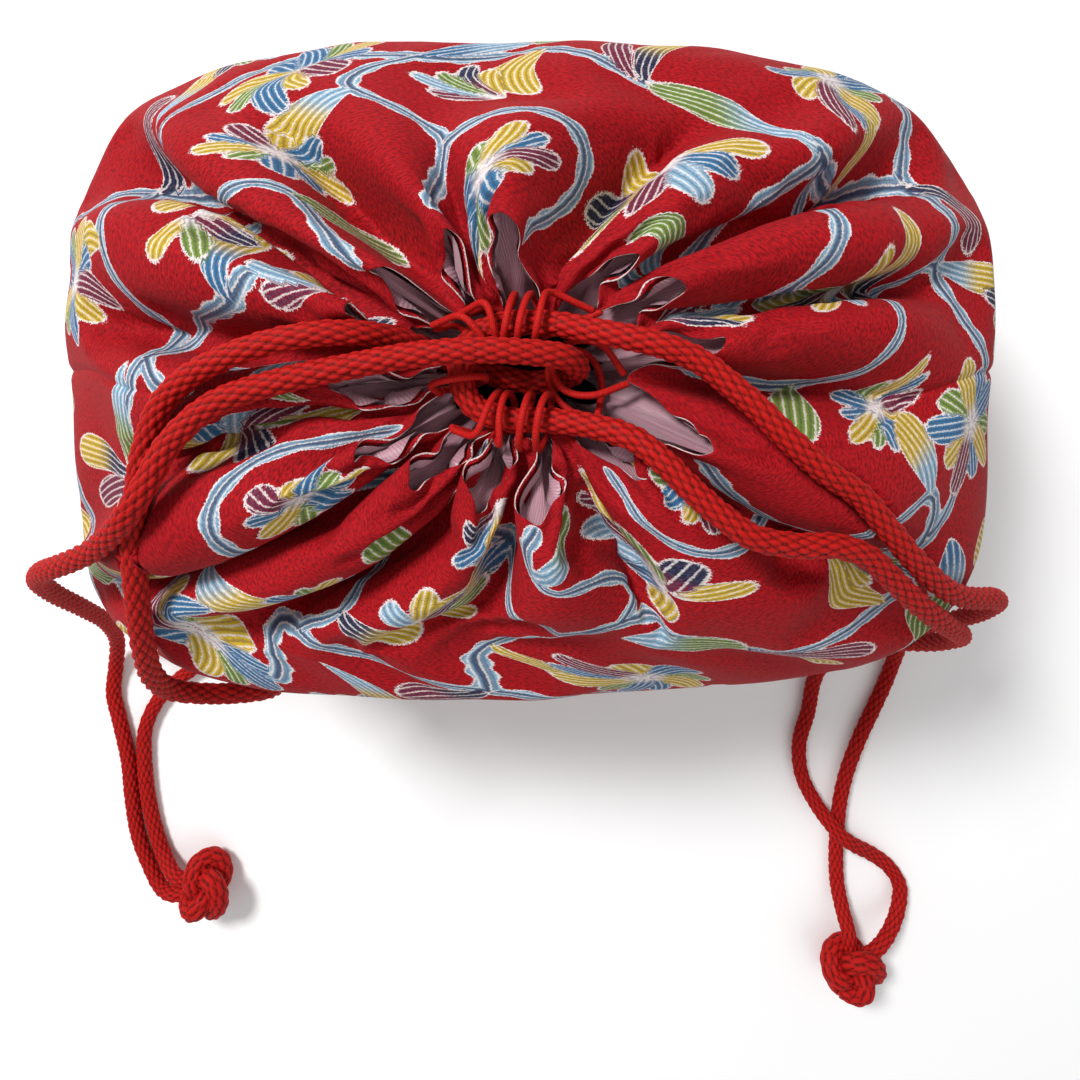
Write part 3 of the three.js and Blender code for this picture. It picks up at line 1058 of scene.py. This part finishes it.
def wall_spray(u: float, rise: float, half_turn: float) -> tuple:
    """One spray of the print on the upright walls.

    Args:
        u: where it starts along the cloth.
        rise: how much higher some of it stands than in the lowest spray.
        half_turn: how far its flowers are turned, in degrees.

    Returns:
        Its motifs, in the order in which they are printed.
    """
    return (
        Vine(((u, 30 + rise), (u + 22, 44), (u + 40, 22 + rise), (u + 62, 18)), jointed=True),
        Vine(((u + 70, 20), (u + 92, 34 + rise), (u + 118, 26), (u + 149, 30))),
        Vine(((u + 22, 44), (u + 30, 66), (u + 16, 84 + rise), (u + 30, 104)), jointed=True),
        Vine(((u + 92, 36 + rise), (u + 96, 58), (u + 118, 74), (u + 112, 98))),
        Vine(((u + 44, 96), (u + 62, 84), (u + 82, 74 + rise), (u + 96, 58))),
        Leaf(u + 10, 36, 250 + rise, 27, 10, Dye.SKY, Dye.GREEN),
        Leaf(u + 28, 64, 15, 30, 10, Dye.NAVY, Dye.YELLOW),
        Leaf(u + 44, 24, 70, 22, 9, Dye.NAVY, Dye.WINE),
        Leaf(u + 94, 34 + rise, 290, 24, 10, Dye.BLUE, Dye.GREEN),
        Leaf(u + 100, 64, 155, 26, 9, Dye.NAVY, Dye.WINE),
        Leaf(u + 112, 96, 60, 18, 14, Dye.SKY, Dye.YELLOW),
        Leaf(u + 134, 28, 110, 18, 14, Dye.BLUE, Dye.YELLOW),
        Leaf(u + 118, 27, 250, 18, 9, Dye.YELLOW, Dye.GREEN),
        Daisy(u + 60, 48 + rise, 30 + half_turn, 17),
        Fan(u + 76, 98 - rise, 100 + half_turn, 19, 150),
        Fan(u + 134, 64 + rise, 200 + half_turn, 18, 110, SHELL),
        Daisy(u + 40, 98 + rise / 2, 75, 13),
    )


def shoulder_repeat(u: float, end: float, rise: float) -> tuple:
    """One repeat of the print on the shoulders and up to the hem.

    Args:
        u: where it starts along the cloth.
        end: where the next one starts.
        rise: how much higher some of its stems stand than in the first repeat.

    Returns:
        Its motifs, in the order in which they are printed.
    """
    return (
        Vine(((u, 132), (u + 30, 144 + rise), (u + 62, 136), (u + 84, 120)), jointed=True),
        Vine(((u + 62, 136), (u + 84, 152), (u + 116, 160 + rise), (u + 150, 150))),
        Vine(((u + 150, 150), (u + 176, 136), (u + 206, 142 + rise), (end, 132))),
        Vine(((u + 116, 160 + rise), (u + 124, 176), (u + 112, 194), (u + 120, 210))),
        Vine(((u + 206, 142 + rise), (u + 222, 158), (u + 214, 180), (u + 230, 204))),
        Vine(((u + 30, 144 + rise), (u + 38, 164), (u + 20, 182), (u + 28, 208))),
        Vine(((u + 140, 106), (u + 170, 116), (u + 200, 108), (u + 226, 114)), jointed=True),
        Vine(((u + 56, 198), (u + 80, 186), (u + 96, 170), (u + 116, 160 + rise))),
        Vine(((u + 170, 208), (u + 176, 186), (u + 196, 176), (u + 214, 180))),
        Leaf(u + 30, 144, 255, 26, 11, Dye.SKY, Dye.YELLOW),
        Leaf(u + 62, 136, 190, 30, 10, Dye.NAVY, Dye.WINE),
        Leaf(u + 84, 152, 300, 26, 12, Dye.YELLOW, Dye.GREEN),
        Leaf(u + 118, 160, 345, 34, 11, Dye.SKY, Dye.GREEN),
        Leaf(u + 150, 150, 260, 30, 11, Dye.NAVY, Dye.YELLOW),
        Leaf(u + 152, 150, 290, 24, 9, Dye.WINE, Dye.WINE),
        Leaf(u + 176, 136, 70, 24, 12, Dye.YELLOW, Dye.YELLOW),
        Leaf(u + 206, 142, 215, 28, 10, Dye.BLUE, Dye.SKY),
        Leaf(u + 38, 164, 350, 28, 12, Dye.NAVY, Dye.YELLOW),
        Leaf(u + 20, 182, 150, 22, 11, Dye.GREEN, Dye.GREEN),
        Leaf(u + 222, 158, 15, 26, 12, Dye.SKY, Dye.YELLOW),
        Leaf(u + 80, 186, 200, 26, 12, Dye.BLUE, Dye.YELLOW),
        Leaf(u + 112, 194, 20, 26, 11, Dye.SKY, Dye.GREEN),
        Leaf(u + 200, 108, 80, 20, 15, Dye.BLUE, Dye.YELLOW),
        Leaf(u + 170, 116, 40, 18, 14, Dye.GREEN, Dye.GREEN),
        Fan(u + 16, 112, 100, 18, 110, SHELL),
        Fan(u + 60, 168, 80, 19, 150),
        Fan(u + 150, 178, 100, 22, 220, WIDE),
        Fan(u + 190, 160, 300, 18, 100, SHELL),
        Fan(u + 66, 208, 250, 20, 110, (Dye.NAVY, Dye.BLUE, Dye.YELLOW, Dye.SKY, Dye.WINE)),
        Daisy(u + 100, 132, 265, 18),
        Daisy(u + 236, 140, 335, 18),
        Daisy(u + 194, 196, 30, 14),
        Daisy(u + 4, 168, 70, 13),
    )


def print_cloth(field: PrintField, sprays: int = 5, repeats: int = 3) -> None:
    """Prints the whole cloth: the walls, then the shoulders.

    Args:
        field: the cloth to print on.
        sprays: how many sprays go round the walls.
        repeats: how many times the shoulders' pattern goes round.
    """
    spray, wide = field.width / sprays, field.width / repeats
    walls = [wall_spray(k * spray, 8 * (k % 2), 180 * (k % 2)) for k in range(sprays)]
    shoulders = [shoulder_repeat(k * wide, k * wide + wide, 4 * k) for k in range(repeats)]
    for motifs in (*walls, *shoulders):
        for motif in motifs:
            motif.draw(field)


# ---- Cords ----
def cord_surface(
    path: np.ndarray, radius: float, sides: int, braid: float
) -> tuple[np.ndarray, np.ndarray]:
    """Places a cord's surface round its path, with the relief of a round braid.

    Args:
        path: the centreline.
        radius: the cord's radius over its strands.
        sides: how many threads of the grid go round it.
        braid: how deep the grooves between strands are.

    Returns:
        The places, rows round the cord by columns along it, and how plump each is, from 0 to 1.
    """
    _, across, up = carried_frames(path)
    run = np.concatenate([[0], np.cumsum(np.linalg.norm(np.diff(path, axis=0), axis=1))])
    turn = np.linspace(0, 2 * math.pi, sides + 1)[:, None]
    # Eight strands wind each way. Each shows as a plump stitch on a slant before it dives.
    wind = math.pi * run[None, :] / (STITCH_LENGTH * radius)
    one, other = np.sin(4 * turn + wind), np.sin(4 * turn - wind)
    # A strand lies proud where it crosses over, so each stitch is longer along its own strand.
    over = np.abs(np.where(one * other > 0, one, other))
    under = np.abs(np.where(one * other > 0, other, one))
    plump = over**0.7 * under**0.45
    reach = (radius - braid * (1 - plump))[..., None]
    outward = np.cos(turn)[..., None] * across[None] + np.sin(turn)[..., None] * up[None]
    return path[None] + reach * outward, plump


def cord_tree(count: int = 420) -> KDTree:
    """A search tree of places along both drawstrings' routes."""
    places = np.vstack([even_path(np.array(cord.route), count) for cord in DRAWSTRINGS])
    tree = KDTree(len(places))
    for index, place in enumerate(places):
        tree.insert(Vector(place), index)
    tree.balance()
    return tree


def cord_mesh(name: str, path: np.ndarray, radius: float, sides: int, braid: float) -> bpy.types.Mesh:
    """Makes a closed cord along a path, with its ends rounded in.

    Args:
        name: the mesh's name.
        path: the centreline.
        radius: the cord's radius.
        sides: how many threads of the grid go round it.
        braid: how deep its grooves are.

    Returns:
        The mesh, with the strand attribute on it.
    """
    places, plump = cord_surface(path, radius, sides, braid)
    for end in (0, -1):
        places[:, end] = path[end] + (places[:, end] - path[end]) * END_TAPER
    mesh = grid_mesh(name, places, (path_length(path), 2 * math.pi * radius))
    add_values(mesh, "strand", "FLOAT", plump)
    with welded(mesh, 1e-6) as seam:
        bmesh.ops.holes_fill(seam, edges=seam.edges, sides=sides + 2)
        bmesh.ops.recalc_face_normals(seam, faces=seam.faces)
        for face in seam.faces:
            face.smooth = True
    return mesh


@dataclass(frozen=True)
class Drawstring:
    """One drawstring: a braided cord from its knot, through the mouth and back to the knot."""

    name: str
    route: tuple[Point, ...]
    knot: str
    step: float = 0.00056
    sides: int = 40

    def path(self) -> np.ndarray:
        """The centreline, in even steps."""
        low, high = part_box(self.knot)
        middle = (np.array(low) + np.array(high)) / 2
        ends = [np.array(self.route[k]) * 0.5 + middle * 0.5 for k in (0, -1)]
        rough = even_path(np.array([ends[0], *self.route, ends[1]]), 800)
        return even_path(rough, int(path_length(rough) / self.step))

    def build(self, finish: bpy.types.Material) -> bpy.types.Object:
        """Makes the cord."""
        mesh = cord_mesh(self.name + "_braid", self.path(), BRAID_RADIUS, self.sides, BRAID_DEPTH)
        return stand_for(self.name, mesh, finish)

    def declare(self, piece: bpy.types.Object, knot: bpy.types.Object) -> None:
        """Works out the cord's path and does nothing more. The cord leaves its knot, and both its ends are
        in that knot.

        Args:
            piece: the cord. It is not used.
            knot: the knot on it. It is not used.
        """
        path = self.path()


@dataclass(frozen=True)
class Knot:
    """The pulled-tight overhand knot that joins a drawstring's two ends."""

    name: str
    node: str
    turn_deg: float
    tilt_deg: float
    strand_radius: float = 0.0041
    swell: Point = (1.08, 1.08, 1.0)

    def build(self, finish: bpy.types.Material) -> bpy.types.Object:
        """Winds one fat strand through a trefoil inside the knot's own box.

        Args:
            finish: the braid's material.

        Returns:
            The knot.
        """
        low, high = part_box(self.node)
        centre, half = (low + high) / 2, (high - low) / 2
        t = np.linspace(0, 2 * math.pi, 420)
        ring = 2.0 + np.cos(3 * t)
        line = np.stack([ring * np.cos(2 * t), ring * np.sin(2 * t), 1.25 * np.sin(3 * t)], axis=1)
        turn, tilt = math.radians(self.turn_deg), math.radians(self.tilt_deg)
        line = line @ np.array(Matrix.Rotation(tilt, 3, "X")).T @ np.array(Matrix.Rotation(turn, 3, "Z")).T
        room = np.array(half) * self.swell - self.strand_radius
        line *= room / np.abs(line).max(axis=0)
        mesh = cord_mesh(self.name, line + np.array(centre), self.strand_radius, 36, BRAID_DEPTH)
        return stand_for(self.node, mesh, finish)


# How a hem loop goes round a drawstring: towards the hem and across it, in shares of its bend.
LOOP_WRAP = ((0.9, 1.0), (-0.4, 1.0), (-1.1, 0.0), (-0.4, -1.0), (0.9, -1.0))


@dataclass(frozen=True)
class HemLoop:
    """A thin cord sewn into the hem at both ends, with a drawstring run through it."""

    number: int
    held: Point
    along: Point
    sway: float = 0.0011
    slack: float = 1.45
    gap: float = 0.0003
    sides: int = 18
    rounds: int = 60
    end_places: int = 16

    def path(self, hem: tuple[np.ndarray, np.ndarray], cords: KDTree) -> np.ndarray:
        """Runs from one hem stitch, round the drawstring, to the other.

        Args:
            hem: the two stitches.
            cords: places along the drawstrings, which the loop stays clear of.

        Returns:
            The loop's centreline.
        """
        held, heading = np.array(self.held), np.array(self.along)
        heading = heading / np.linalg.norm(heading)
        outward = (hem[0] + hem[1]) / 2 - held
        outward -= heading * np.dot(outward, heading)
        outward /= np.linalg.norm(outward)
        across = np.cross(heading, outward)
        bend = CORD_DIAMETER / 2 + LOOP_DIAMETER / 2 + self.gap
        loose = bend * self.slack
        turns = [
            held + loose * (out * outward + side * across) + heading * self.sway * side
            for out, side in LOOP_WRAP
        ]
        first, last = hem if np.dot(hem[0] - hem[1], across) >= 0 else hem[::-1]
        corners = [first, (first + turns[0]) / 2, *turns, (last + turns[-1]) / 2, last]
        path = even_path(np.array(corners), 150)
        for _ in range(self.rounds):
            self.relax(path)
            for index in range(1, len(path) - 1):
                near, _, distance = cords.find(Vector(path[index]))
                # Close to a stitch the loop may still lie against the drawstring.
                clear = bend * min(1.0, min(index, len(path) - 1 - index) / self.end_places)
                if distance < clear:
                    path[index] += (path[index] - near) * (clear / distance - 1)
        for _ in range(6):
            self.relax(path)
        return even_path(path, 170)

    @staticmethod
    def relax(path: np.ndarray) -> None:
        """Draws each place of a path between its ends a little towards its neighbours."""
        path[1:-1] = (path[:-2] + path[1:-1] * 2 + path[2:]) / 4

    def build(
        self, hem: tuple[np.ndarray, np.ndarray], cords: KDTree, finish: bpy.types.Material
    ) -> bpy.types.Object:
        """Args:
            hem: its two stitches.
            cords: places along the drawstrings.
            finish: the thin cord's material.

        Returns:
            The loop.
        """
        path = self.path(hem, cords)
        mesh = cord_mesh(f"hem_loop_{self.number:02d}", path, LOOP_DIAMETER / 2, self.sides, LOOP_DEPTH)
        piece = stand_for(f"loop_{self.number:02d}", mesh, finish)
        return piece


HEM_LOOPS = (
    HemLoop(12, (0.0118, 0.0011, 0.1484), (-0.16, 0.3, 0.94)),
    HemLoop(1, (0.0036, 0.0108, 0.1517), (1, -0.02, 0.25)),
    HemLoop(2, (0, 0.0109, 0.1506), (1, 0, 0.25)),
    HemLoop(3, (-0.0036, 0.0108, 0.1497), (1, 0, 0.15)),
    HemLoop(4, (-0.0074, 0.0102, 0.149), (1, 0.3, 0.15)),
    HemLoop(5, (-0.0113, 0.008, 0.1484), (1, 0.9, 0)),
    HemLoop(6, (-0.0145, -0.0024, 0.148), (0.25, -1, 0)),
    HemLoop(7, (-0.008, -0.0099, 0.1482), (1, -0.4, 0)),
    HemLoop(8, (-0.004, -0.0106, 0.1484), (1, 0, 0.1)),
    HemLoop(9, (0, -0.0108, 0.1488), (1, 0, 0.1)),
    HemLoop(10, (0.004, -0.0108, 0.1494), (1, 0, 0.15)),
    HemLoop(11, (0.0111, -0.0003, 0.1434), (0.38, 0.29, 0.88)),
)
DRAWSTRINGS = (
    Drawstring("drawstring_left", LEFT_ROUTE, "knot_left"),
    Drawstring("drawstring_right", RIGHT_ROUTE, "knot_right"),
)
KNOTS = (
    Knot("left_overhand_knot", "knot_left", 205.0, 20.0),
    Knot("right_overhand_knot", "knot_right", 250.0, 15.0),
)


# ---- The sewn pouch ----
# Below this height no cord presses on the cloth.
CORDS_ABOVE = 0.085
SETTLE_BEND = 12.0
SETTLE_PRESSURE = 0.04
SETTLE_PIN = 0.6
SETTLE_FRAMES = 22
# The soft unevenness of the cloth: turns round the pouch, rise per metre up it, phase, and size in mm.
DENT_WAVES = (
    (3, 21, 0.3, 0.63),
    (7, 35, 1.9, 0.49),
    (11, 14, 4.1, 0.35),
    (17, 47, 2.2, 0.245),
    (23, 8, 5.3, 0.21),
)


@dataclass
class Pouch:
    """The outer panels, the lining and the bottom, all shaped from one gathered cloth."""

    cloth: GatheredCloth
    refine: int = 4
    lining_inset: float = 0.0012
    lining_gather: float = 0.72
    lining_drop: float = 0.0135
    lining_floor: float = 0.0042
    seam_depth_mm: tuple[float, ...] = (0.85, 0.4, 0.1)
    hem_turn: tuple[tuple[float, float], ...] = ((0.18, -0.08), (0.36, 0.1), (0.5, 1.2))
    dent_clearance: float = 0.0011
    fine: np.ndarray = field(init=False)
    stitches: list[int] = field(init=False)

    def shape(self) -> None:
        """Adds the small dents of soft cloth, then presses the cloth down under the cords."""
        coarse = self.cloth.places
        self.stitches = self.pleat_columns(coarse[-1], [pleat for pleat in PLEATS if pleat.stitched])
        coarse = coarse + self.cloth.normals(coarse) * self.dents()[..., None]
        coarse = self.settled(coarse)
        self.fine = self.pressed(self.cloth.refined(coarse, self.refine))

    def settled(self, places: np.ndarray) -> np.ndarray:
        """Lets the cloth puff and crumple for a moment, held at its base and at its hem stitches.

        Args:
            places: the coarse grid as folded, rows by columns by 3.

        Returns:
            The grid as it came to rest.
        """
        rows, columns = places.shape[:2]
        closed = np.concatenate([places, places[:, :1]], axis=1)
        mesh = grid_mesh("settling", closed, (self.cloth.flat_width, self.cloth.flat_height))
        number = np.arange(rows * columns).reshape(rows, columns)
        add_values(mesh, "number", "FLOAT", np.concatenate([number, number[:, :1]], axis=1))
        with welded(mesh, 1e-7):
            LOG.info("%s: closed round its last column", mesh.name)
        order = np.zeros(len(mesh.vertices), dtype=np.float32)
        mesh.attributes["number"].data.foreach_get("value", order)
        order = np.rint(order).astype(int)
        bag = bpy.data.objects.new("settling", mesh)
        bpy.context.scene.collection.objects.link(bag)
        pins = bag.vertex_groups.new(name="held")
        for index, share in enumerate(self.held_shares(places).ravel()[order]):
            pins.add([index], float(share), "REPLACE")
        self.make_limp(bag, pins)
        scene = bpy.context.scene
        scene.frame_start, scene.frame_end = 1, SETTLE_FRAMES
        for frame_number in range(1, SETTLE_FRAMES + 1):
            scene.frame_set(frame_number)
        ready = bag.evaluated_get(bpy.context.evaluated_depsgraph_get())
        moved = np.zeros(len(mesh.vertices) * 3, dtype=np.float32)
        ready.data.vertices.foreach_get("co", moved)
        result = np.zeros((rows * columns, 3))
        result[order] = moved.reshape(-1, 3)
        bpy.data.objects.remove(bag)
        bpy.data.meshes.remove(mesh)
        scene.frame_set(1)
        return result.reshape(rows, columns, 3)

    def held_shares(self, places: np.ndarray) -> np.ndarray:
        """How firmly each crossing is held as the cloth settles: most at the foot and the stitches."""
        held = np.zeros(places.shape[:2])
        held[:3] = 1.0
        held[3:] = 0.85 * smoothstep(0.142, 0.055, places[3:, :, 2])
        for stitch in self.pleat_columns(places[-1], PLEATS):
            held[-1, [(stitch + k) % places.shape[1] for k in (-1, 0, 1)]] = 1.0
        return held

    @staticmethod
    def make_limp(bag: bpy.types.Object, pins: bpy.types.VertexGroup) -> None:
        """Gives the bag the weight, the give and the slight puff of crepe.

        Args:
            bag: the coarse cloth.
            pins: how firmly each of its crossings is held.
        """
        sim = bag.modifiers.new("settle", "CLOTH")
        cloth = sim.settings
        cloth.quality, cloth.mass = 7, 0.0003
        cloth.tension_stiffness = cloth.compression_stiffness = 12.0
        cloth.shear_stiffness, cloth.bending_stiffness = 4.0, SETTLE_BEND
        cloth.tension_damping = cloth.compression_damping = 20.0
        cloth.air_damping = 6.0
        cloth.vertex_group_mass = pins.name
        cloth.pin_stiffness = SETTLE_PIN
        cloth.use_pressure, cloth.uniform_pressure_force = True, SETTLE_PRESSURE
        sim.collision_settings.use_self_collision = True
        sim.collision_settings.self_distance_min = 0.0012
        sim.collision_settings.use_collision = False
        sim.point_cache.frame_start, sim.point_cache.frame_end = 1, SETTLE_FRAMES

    @staticmethod
    def pleat_columns(hem: np.ndarray, pleats: Iterable[Pleat]) -> list[int]:
        """The hem's column at each fold line: the innermost place near the line's angle."""
        angle = np.degrees(np.arctan2(hem[:, 1], hem[:, 0]))
        reach = np.hypot(hem[:, 0], hem[:, 1])
        near = [np.abs((angle - pleat.hem_deg + 180) % 360 - 180) < 8 for pleat in pleats]
        return [int(np.argmin(np.where(window, reach, 9.0))) for window in near]

    def dents(self) -> np.ndarray:
        """Works out a soft unevenness of the cloth.

        Returns:
            How far each crossing of the coarse grid stands in or out.
        """
        rows, columns = self.cloth.places.shape[:2]
        u = np.arange(columns)[None] * self.cloth.flat_width / columns
        v = np.arange(rows)[:, None] * self.cloth.flat_height / (rows - 1)
        total = sum(
            size * np.sin(2 * math.pi * turns * u / self.cloth.flat_width + rise * v + start)
            for turns, rise, start, size in DENT_WAVES
        )
        top = self.cloth.flat_height
        return total * smoothstep(0.0, 0.02, v) * smoothstep(top, top - 0.015, v) * MM

    def pressed(self, places: np.ndarray) -> np.ndarray:
        """Moves the cloth off the drawstrings, so that they lie in dents of their own.

        Args:
            places: the fine grid.

        Returns:
            The grid, clear of the cords.
        """
        tree = cord_tree()
        clear = CORD_DIAMETER / 2 + self.dent_clearance
        flat = places.reshape(-1, 3).copy()
        for index in np.nonzero(flat[:, 2] > CORDS_ABOVE)[0]:
            near, _, distance = tree.find(Vector(flat[index]))
            if distance < clear:
                away = flat[index] - np.array(near)
                # The cloth gives way downwards more than to the side.
                away[2] -= 0.35 * clear
                flat[index] = np.array(near) + away / np.linalg.norm(away) * clear
        return flat.reshape(places.shape)

    def outer_panel(
        self, name: str, node: str, first: int, printing: PrintField, finish: bpy.types.Material
    ) -> bpy.types.Object:
        """Makes one outer panel from a half of the fine grid.

        Args:
            name: the piece's name.
            node: the CAD node it stands for.
            first: its first column.
            printing: what is printed on the whole cloth.
            finish: the printed crepe.

        Returns:
            The panel.
        """
        half = (self.fine.shape[1] - 1) // 2
        part = slice(first, first + half + 1)
        places, inward = self.fine[:, part].copy(), -self.cloth_normals[:, part]
        for step, deep in enumerate(self.seam_depth_mm):
            for column in (step, -1 - step):
                places[:, column] += inward[:, column] * deep * MM
        down = places[-3] - places[-1]
        down /= np.linalg.norm(down, axis=1, keepdims=True)
        turned = [places[-1] + (inward[-1] * side + down * fall) * MM for side, fall in self.hem_turn]
        places = np.concatenate([places, turned])
        width = self.cloth.flat_width / 2
        mesh = grid_mesh(name, places, (width, self.cloth.flat_height), width * (first > 0))
        # The hem's very edge shows the undyed side of the cloth, and what is turned in is plain again.
        for label, kind, values, hem_values in (
            ("print_edge", "FLOAT", printing.edge, (0.35, 0.1, -0.6)),
            ("print_dye", "FLOAT_COLOR", printing.dye, (1.0, 1.0, 1.0)),
            ("print_stitch", "FLOAT_VECTOR", printing.stitch, (0.0, 0.0, 0.0)),
        ):
            hem = [np.full_like(values[:1, part], value) for value in hem_values]
            add_values(mesh, label, kind, np.concatenate([values[:, part], *hem]))
        piece = stand_for(node, mesh, finish)
        return piece

    def lining(self, finish: bpy.types.Material) -> bpy.types.Object:
        """Makes the lining, one sack inside the crepe that ends just short of the hem.

        Args:
            finish: the satin's material.

        Returns:
            The lining.
        """
        coarse = self.fine[::2, :-1:2]
        outward = self.cloth.normals(coarse)
        inner = coarse - outward * self.clearance(coarse, outward)[..., None]
        # Below the mouth the lining hangs loose of the crepe, closer in.
        below = np.linspace(self.cloth.flat_height, 0, len(inner))[:, None]
        loose = smoothstep(0.005, 0.022, below) * smoothstep(0.095, 0.045, below)
        inner[..., :2] *= (1 - self.lining_gather * loose)[..., None]
        inner[..., 2] -= self.lining_drop * loose
        self.tuck_under(inner, coarse)
        inner = inner[1:-1]
        closed = np.concatenate([inner, inner[:, :1]], axis=1)
        mesh = grid_mesh("satin_lining", closed, (self.cloth.flat_width, self.cloth.flat_height))
        with welded(mesh, 1e-6) as sack:
            bottom = [e for e in sack.edges if e.is_boundary and e.verts[0].co.z < 0.02]
            for share in (0.5, 0.02):
                made = bmesh.ops.extrude_edge_only(sack, edges=bottom)["geom"]
                for corner in (g for g in made if isinstance(g, bmesh.types.BMVert)):
                    corner.co = Vector((corner.co.x * share, corner.co.y * share, self.lining_floor))
                bottom = [g for g in made if isinstance(g, bmesh.types.BMEdge)]
            bmesh.ops.contextual_create(sack, geom=bottom)
        piece = stand_for("lining", mesh, finish)
        return piece

    @staticmethod
    def crepe_tree(places: np.ndarray) -> BVHTree:
        """A search tree of the crepe's surface at a grid of places that closes on itself."""
        rows, columns = places.shape[:2]
        number = np.arange(rows * columns).reshape(rows, columns)
        after = np.roll(number, -1, axis=1)
        quads = np.stack([number[:-1], after[:-1], after[1:], number[1:]], axis=-1).reshape(-1, 4)
        return BVHTree.FromPolygons(places.reshape(-1, 3).tolist(), quads.tolist())

    def tuck_under(self, inner: np.ndarray, crepe: np.ndarray) -> None:
        """Moves any part of the lining that has come out through the crepe back under it."""
        tree = self.crepe_tree(crepe)
        flat = inner.reshape(-1, 3)
        for index in np.nonzero(flat[:, 2] > 0.08)[0]:
            place, facing, _, distance = tree.ray_cast(Vector(flat[index]), Vector((0, 0, -1)), 0.05)
            if place is not None and facing.z > 0.05:
                flat[index, 2] = place.z - self.lining_inset

    def clearance(self, places: np.ndarray, outward: np.ndarray) -> np.ndarray:
        """Works out how far in from the crepe the lining can lie.

        Args:
            places: the crepe's grid.
            outward: the outward direction at each place.

        Returns:
            The distance at each place, which is less inside a tight fold.
        """
        tree = self.crepe_tree(places)
        room = np.full(places.shape[0] * places.shape[1], self.lining_inset)
        skin = 0.0002
        for index, (place, way) in enumerate(zip(places.reshape(-1, 3), outward.reshape(-1, 3))):
            start = place - way * skin
            hit = tree.ray_cast(Vector(start), Vector(-way), 2.6 * self.lining_inset)
            if hit[0] is not None:
                room[index] = min(self.lining_inset, 0.42 * (hit[3] + skin))
        return room.reshape(places.shape[:2])

    @property
    def cloth_normals(self) -> np.ndarray:
        """The outward direction at each crossing of the fine grid."""
        body = self.cloth.normals(self.fine[:, :-1])
        return np.concatenate([body, body[:, :1]], axis=1)

    def hem_stitches(self) -> list[tuple[np.ndarray, np.ndarray]]:
        """Finds where each fold line meets the hem.

        Returns:
            Two places a few millimetres apart for each stitched fold line, in PLEATS' order.
        """
        hem = self.fine[-1, :-1]
        found = []
        for column in self.stitches:
            middle = column * self.refine
            pair = (hem[(middle + 2) % len(hem)], hem[middle - 2])
            # A stitch bites a millimetre in from the hem and a little below it.
            share = 1 - MM / max(np.hypot(*pair[0][:2]), MM)
            found.append(tuple(place * (share, share, 1) - (0, 0, 1.2 * MM) for place in pair))
        return found


# ---- The setting ----
class Studio:
    """The table top, the lamps and the camera."""

    camera_height = 0.330
    lens = 26.93
    shift = (0.0139, -0.1556)

    def camera(self) -> None:
        """Looks straight down on the middle of the body, framed to take in the knots."""
        data = bpy.data.cameras.new("camera")
        data.sensor_width = 36.0
        data.lens = self.lens
        data.shift_x, data.shift_y = self.shift
        data.clip_start = 0.01
        camera = bpy.data.objects.new("camera", data)
        camera.location = (0, 0, self.camera_height)
        bpy.context.scene.collection.objects.link(camera)
        bpy.context.scene.camera = camera

    def table(self) -> None:
        """A wide white table top."""
        top = bmesh.new()
        bmesh.ops.create_grid(top, x_segments=1, y_segments=1, size=3.0)
        mesh = bpy.data.meshes.new("table_top")
        top.to_mesh(mesh)
        top.free()
        show(mesh, TableTop().material())

    def lamp(self, name: str, place: Point, size: float, power: float) -> None:
        """A square soft lamp aimed at the pouch."""
        data = bpy.data.lights.new(name, "AREA")
        data.size, data.energy = size, power
        lamp = bpy.data.objects.new(name, data)
        lamp.location = place
        lamp.rotation_euler = (Vector((0, 0, 0.08)) - Vector(place)).to_track_quat("-Z", "Y").to_euler()
        bpy.context.scene.collection.objects.link(lamp)

    def lights(self) -> None:
        """A soft key from the upper left, a weak fill, and a pale sky."""
        self.lamp("key_lamp", (-0.6, 0.62, 1.1), 0.3, 18.0)
        self.lamp("fill_lamp", (0.8, -0.9, 1.2), 1.2, 4.0)
        world = bpy.data.worlds.new("studio")
        world.use_nodes = True
        world.node_tree.nodes["Background"].inputs[0].default_value = (1, 1, 1, 1)
        world.node_tree.nodes["Background"].inputs[1].default_value = 0.44
        bpy.context.scene.world = world
        bpy.context.scene.view_settings.view_transform = "Standard"


def report(piece: bpy.types.Object) -> None:
    """Logs a finished piece with its finish and its size."""
    LOG.info("%s: %s, %d faces", piece.name, piece.data.materials[0].name, len(piece.data.polygons))


def main() -> None:
    """Builds the pouch and its setting, one sub-assembly after another."""
    logging.basicConfig(level=logging.INFO, format="%(message)s")
    studio = Studio()
    studio.camera()
    studio.table()
    studio.lights()
    braid, thin = BraidedCord().material(), ThinCord().material()
    for cord, knot in zip(DRAWSTRINGS, KNOTS):
        piece = cord.build(braid)
        tie = knot.build(braid)
        cord.declare(piece, tie)
        report(piece)
        report(tie)
    pouch = Pouch(GatheredCloth())
    pouch.shape()
    rows, columns = pouch.fine.shape[:2]
    printing = PrintField(rows, columns, pouch.cloth.flat_width / MM, pouch.cloth.flat_height / MM)
    print_cloth(printing)
    crepe = PrintedCrepe().material()
    half = (columns - 1) // 2
    panels = (("crepe_back", "outer_back_panel", 0), ("crepe_front", "outer_front_panel", half))
    for name, node, first in panels:
        report(pouch.outer_panel(name, node, first, printing, crepe))
    report(pouch.lining(SatinTwill().material()))
    cords = cord_tree(1600)
    for loop, hem in zip(HEM_LOOPS, pouch.hem_stitches()):
        report(loop.build(hem, cords, thin))
    for node, finish in (("outer_base_panel", PlainCrepe()), ("base_board", GreyCard())):
        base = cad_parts[node]
        base.data.materials.clear()
        base.data.materials.append(finish.material())
        report(base)


if __name__ == "__main__":
    main()
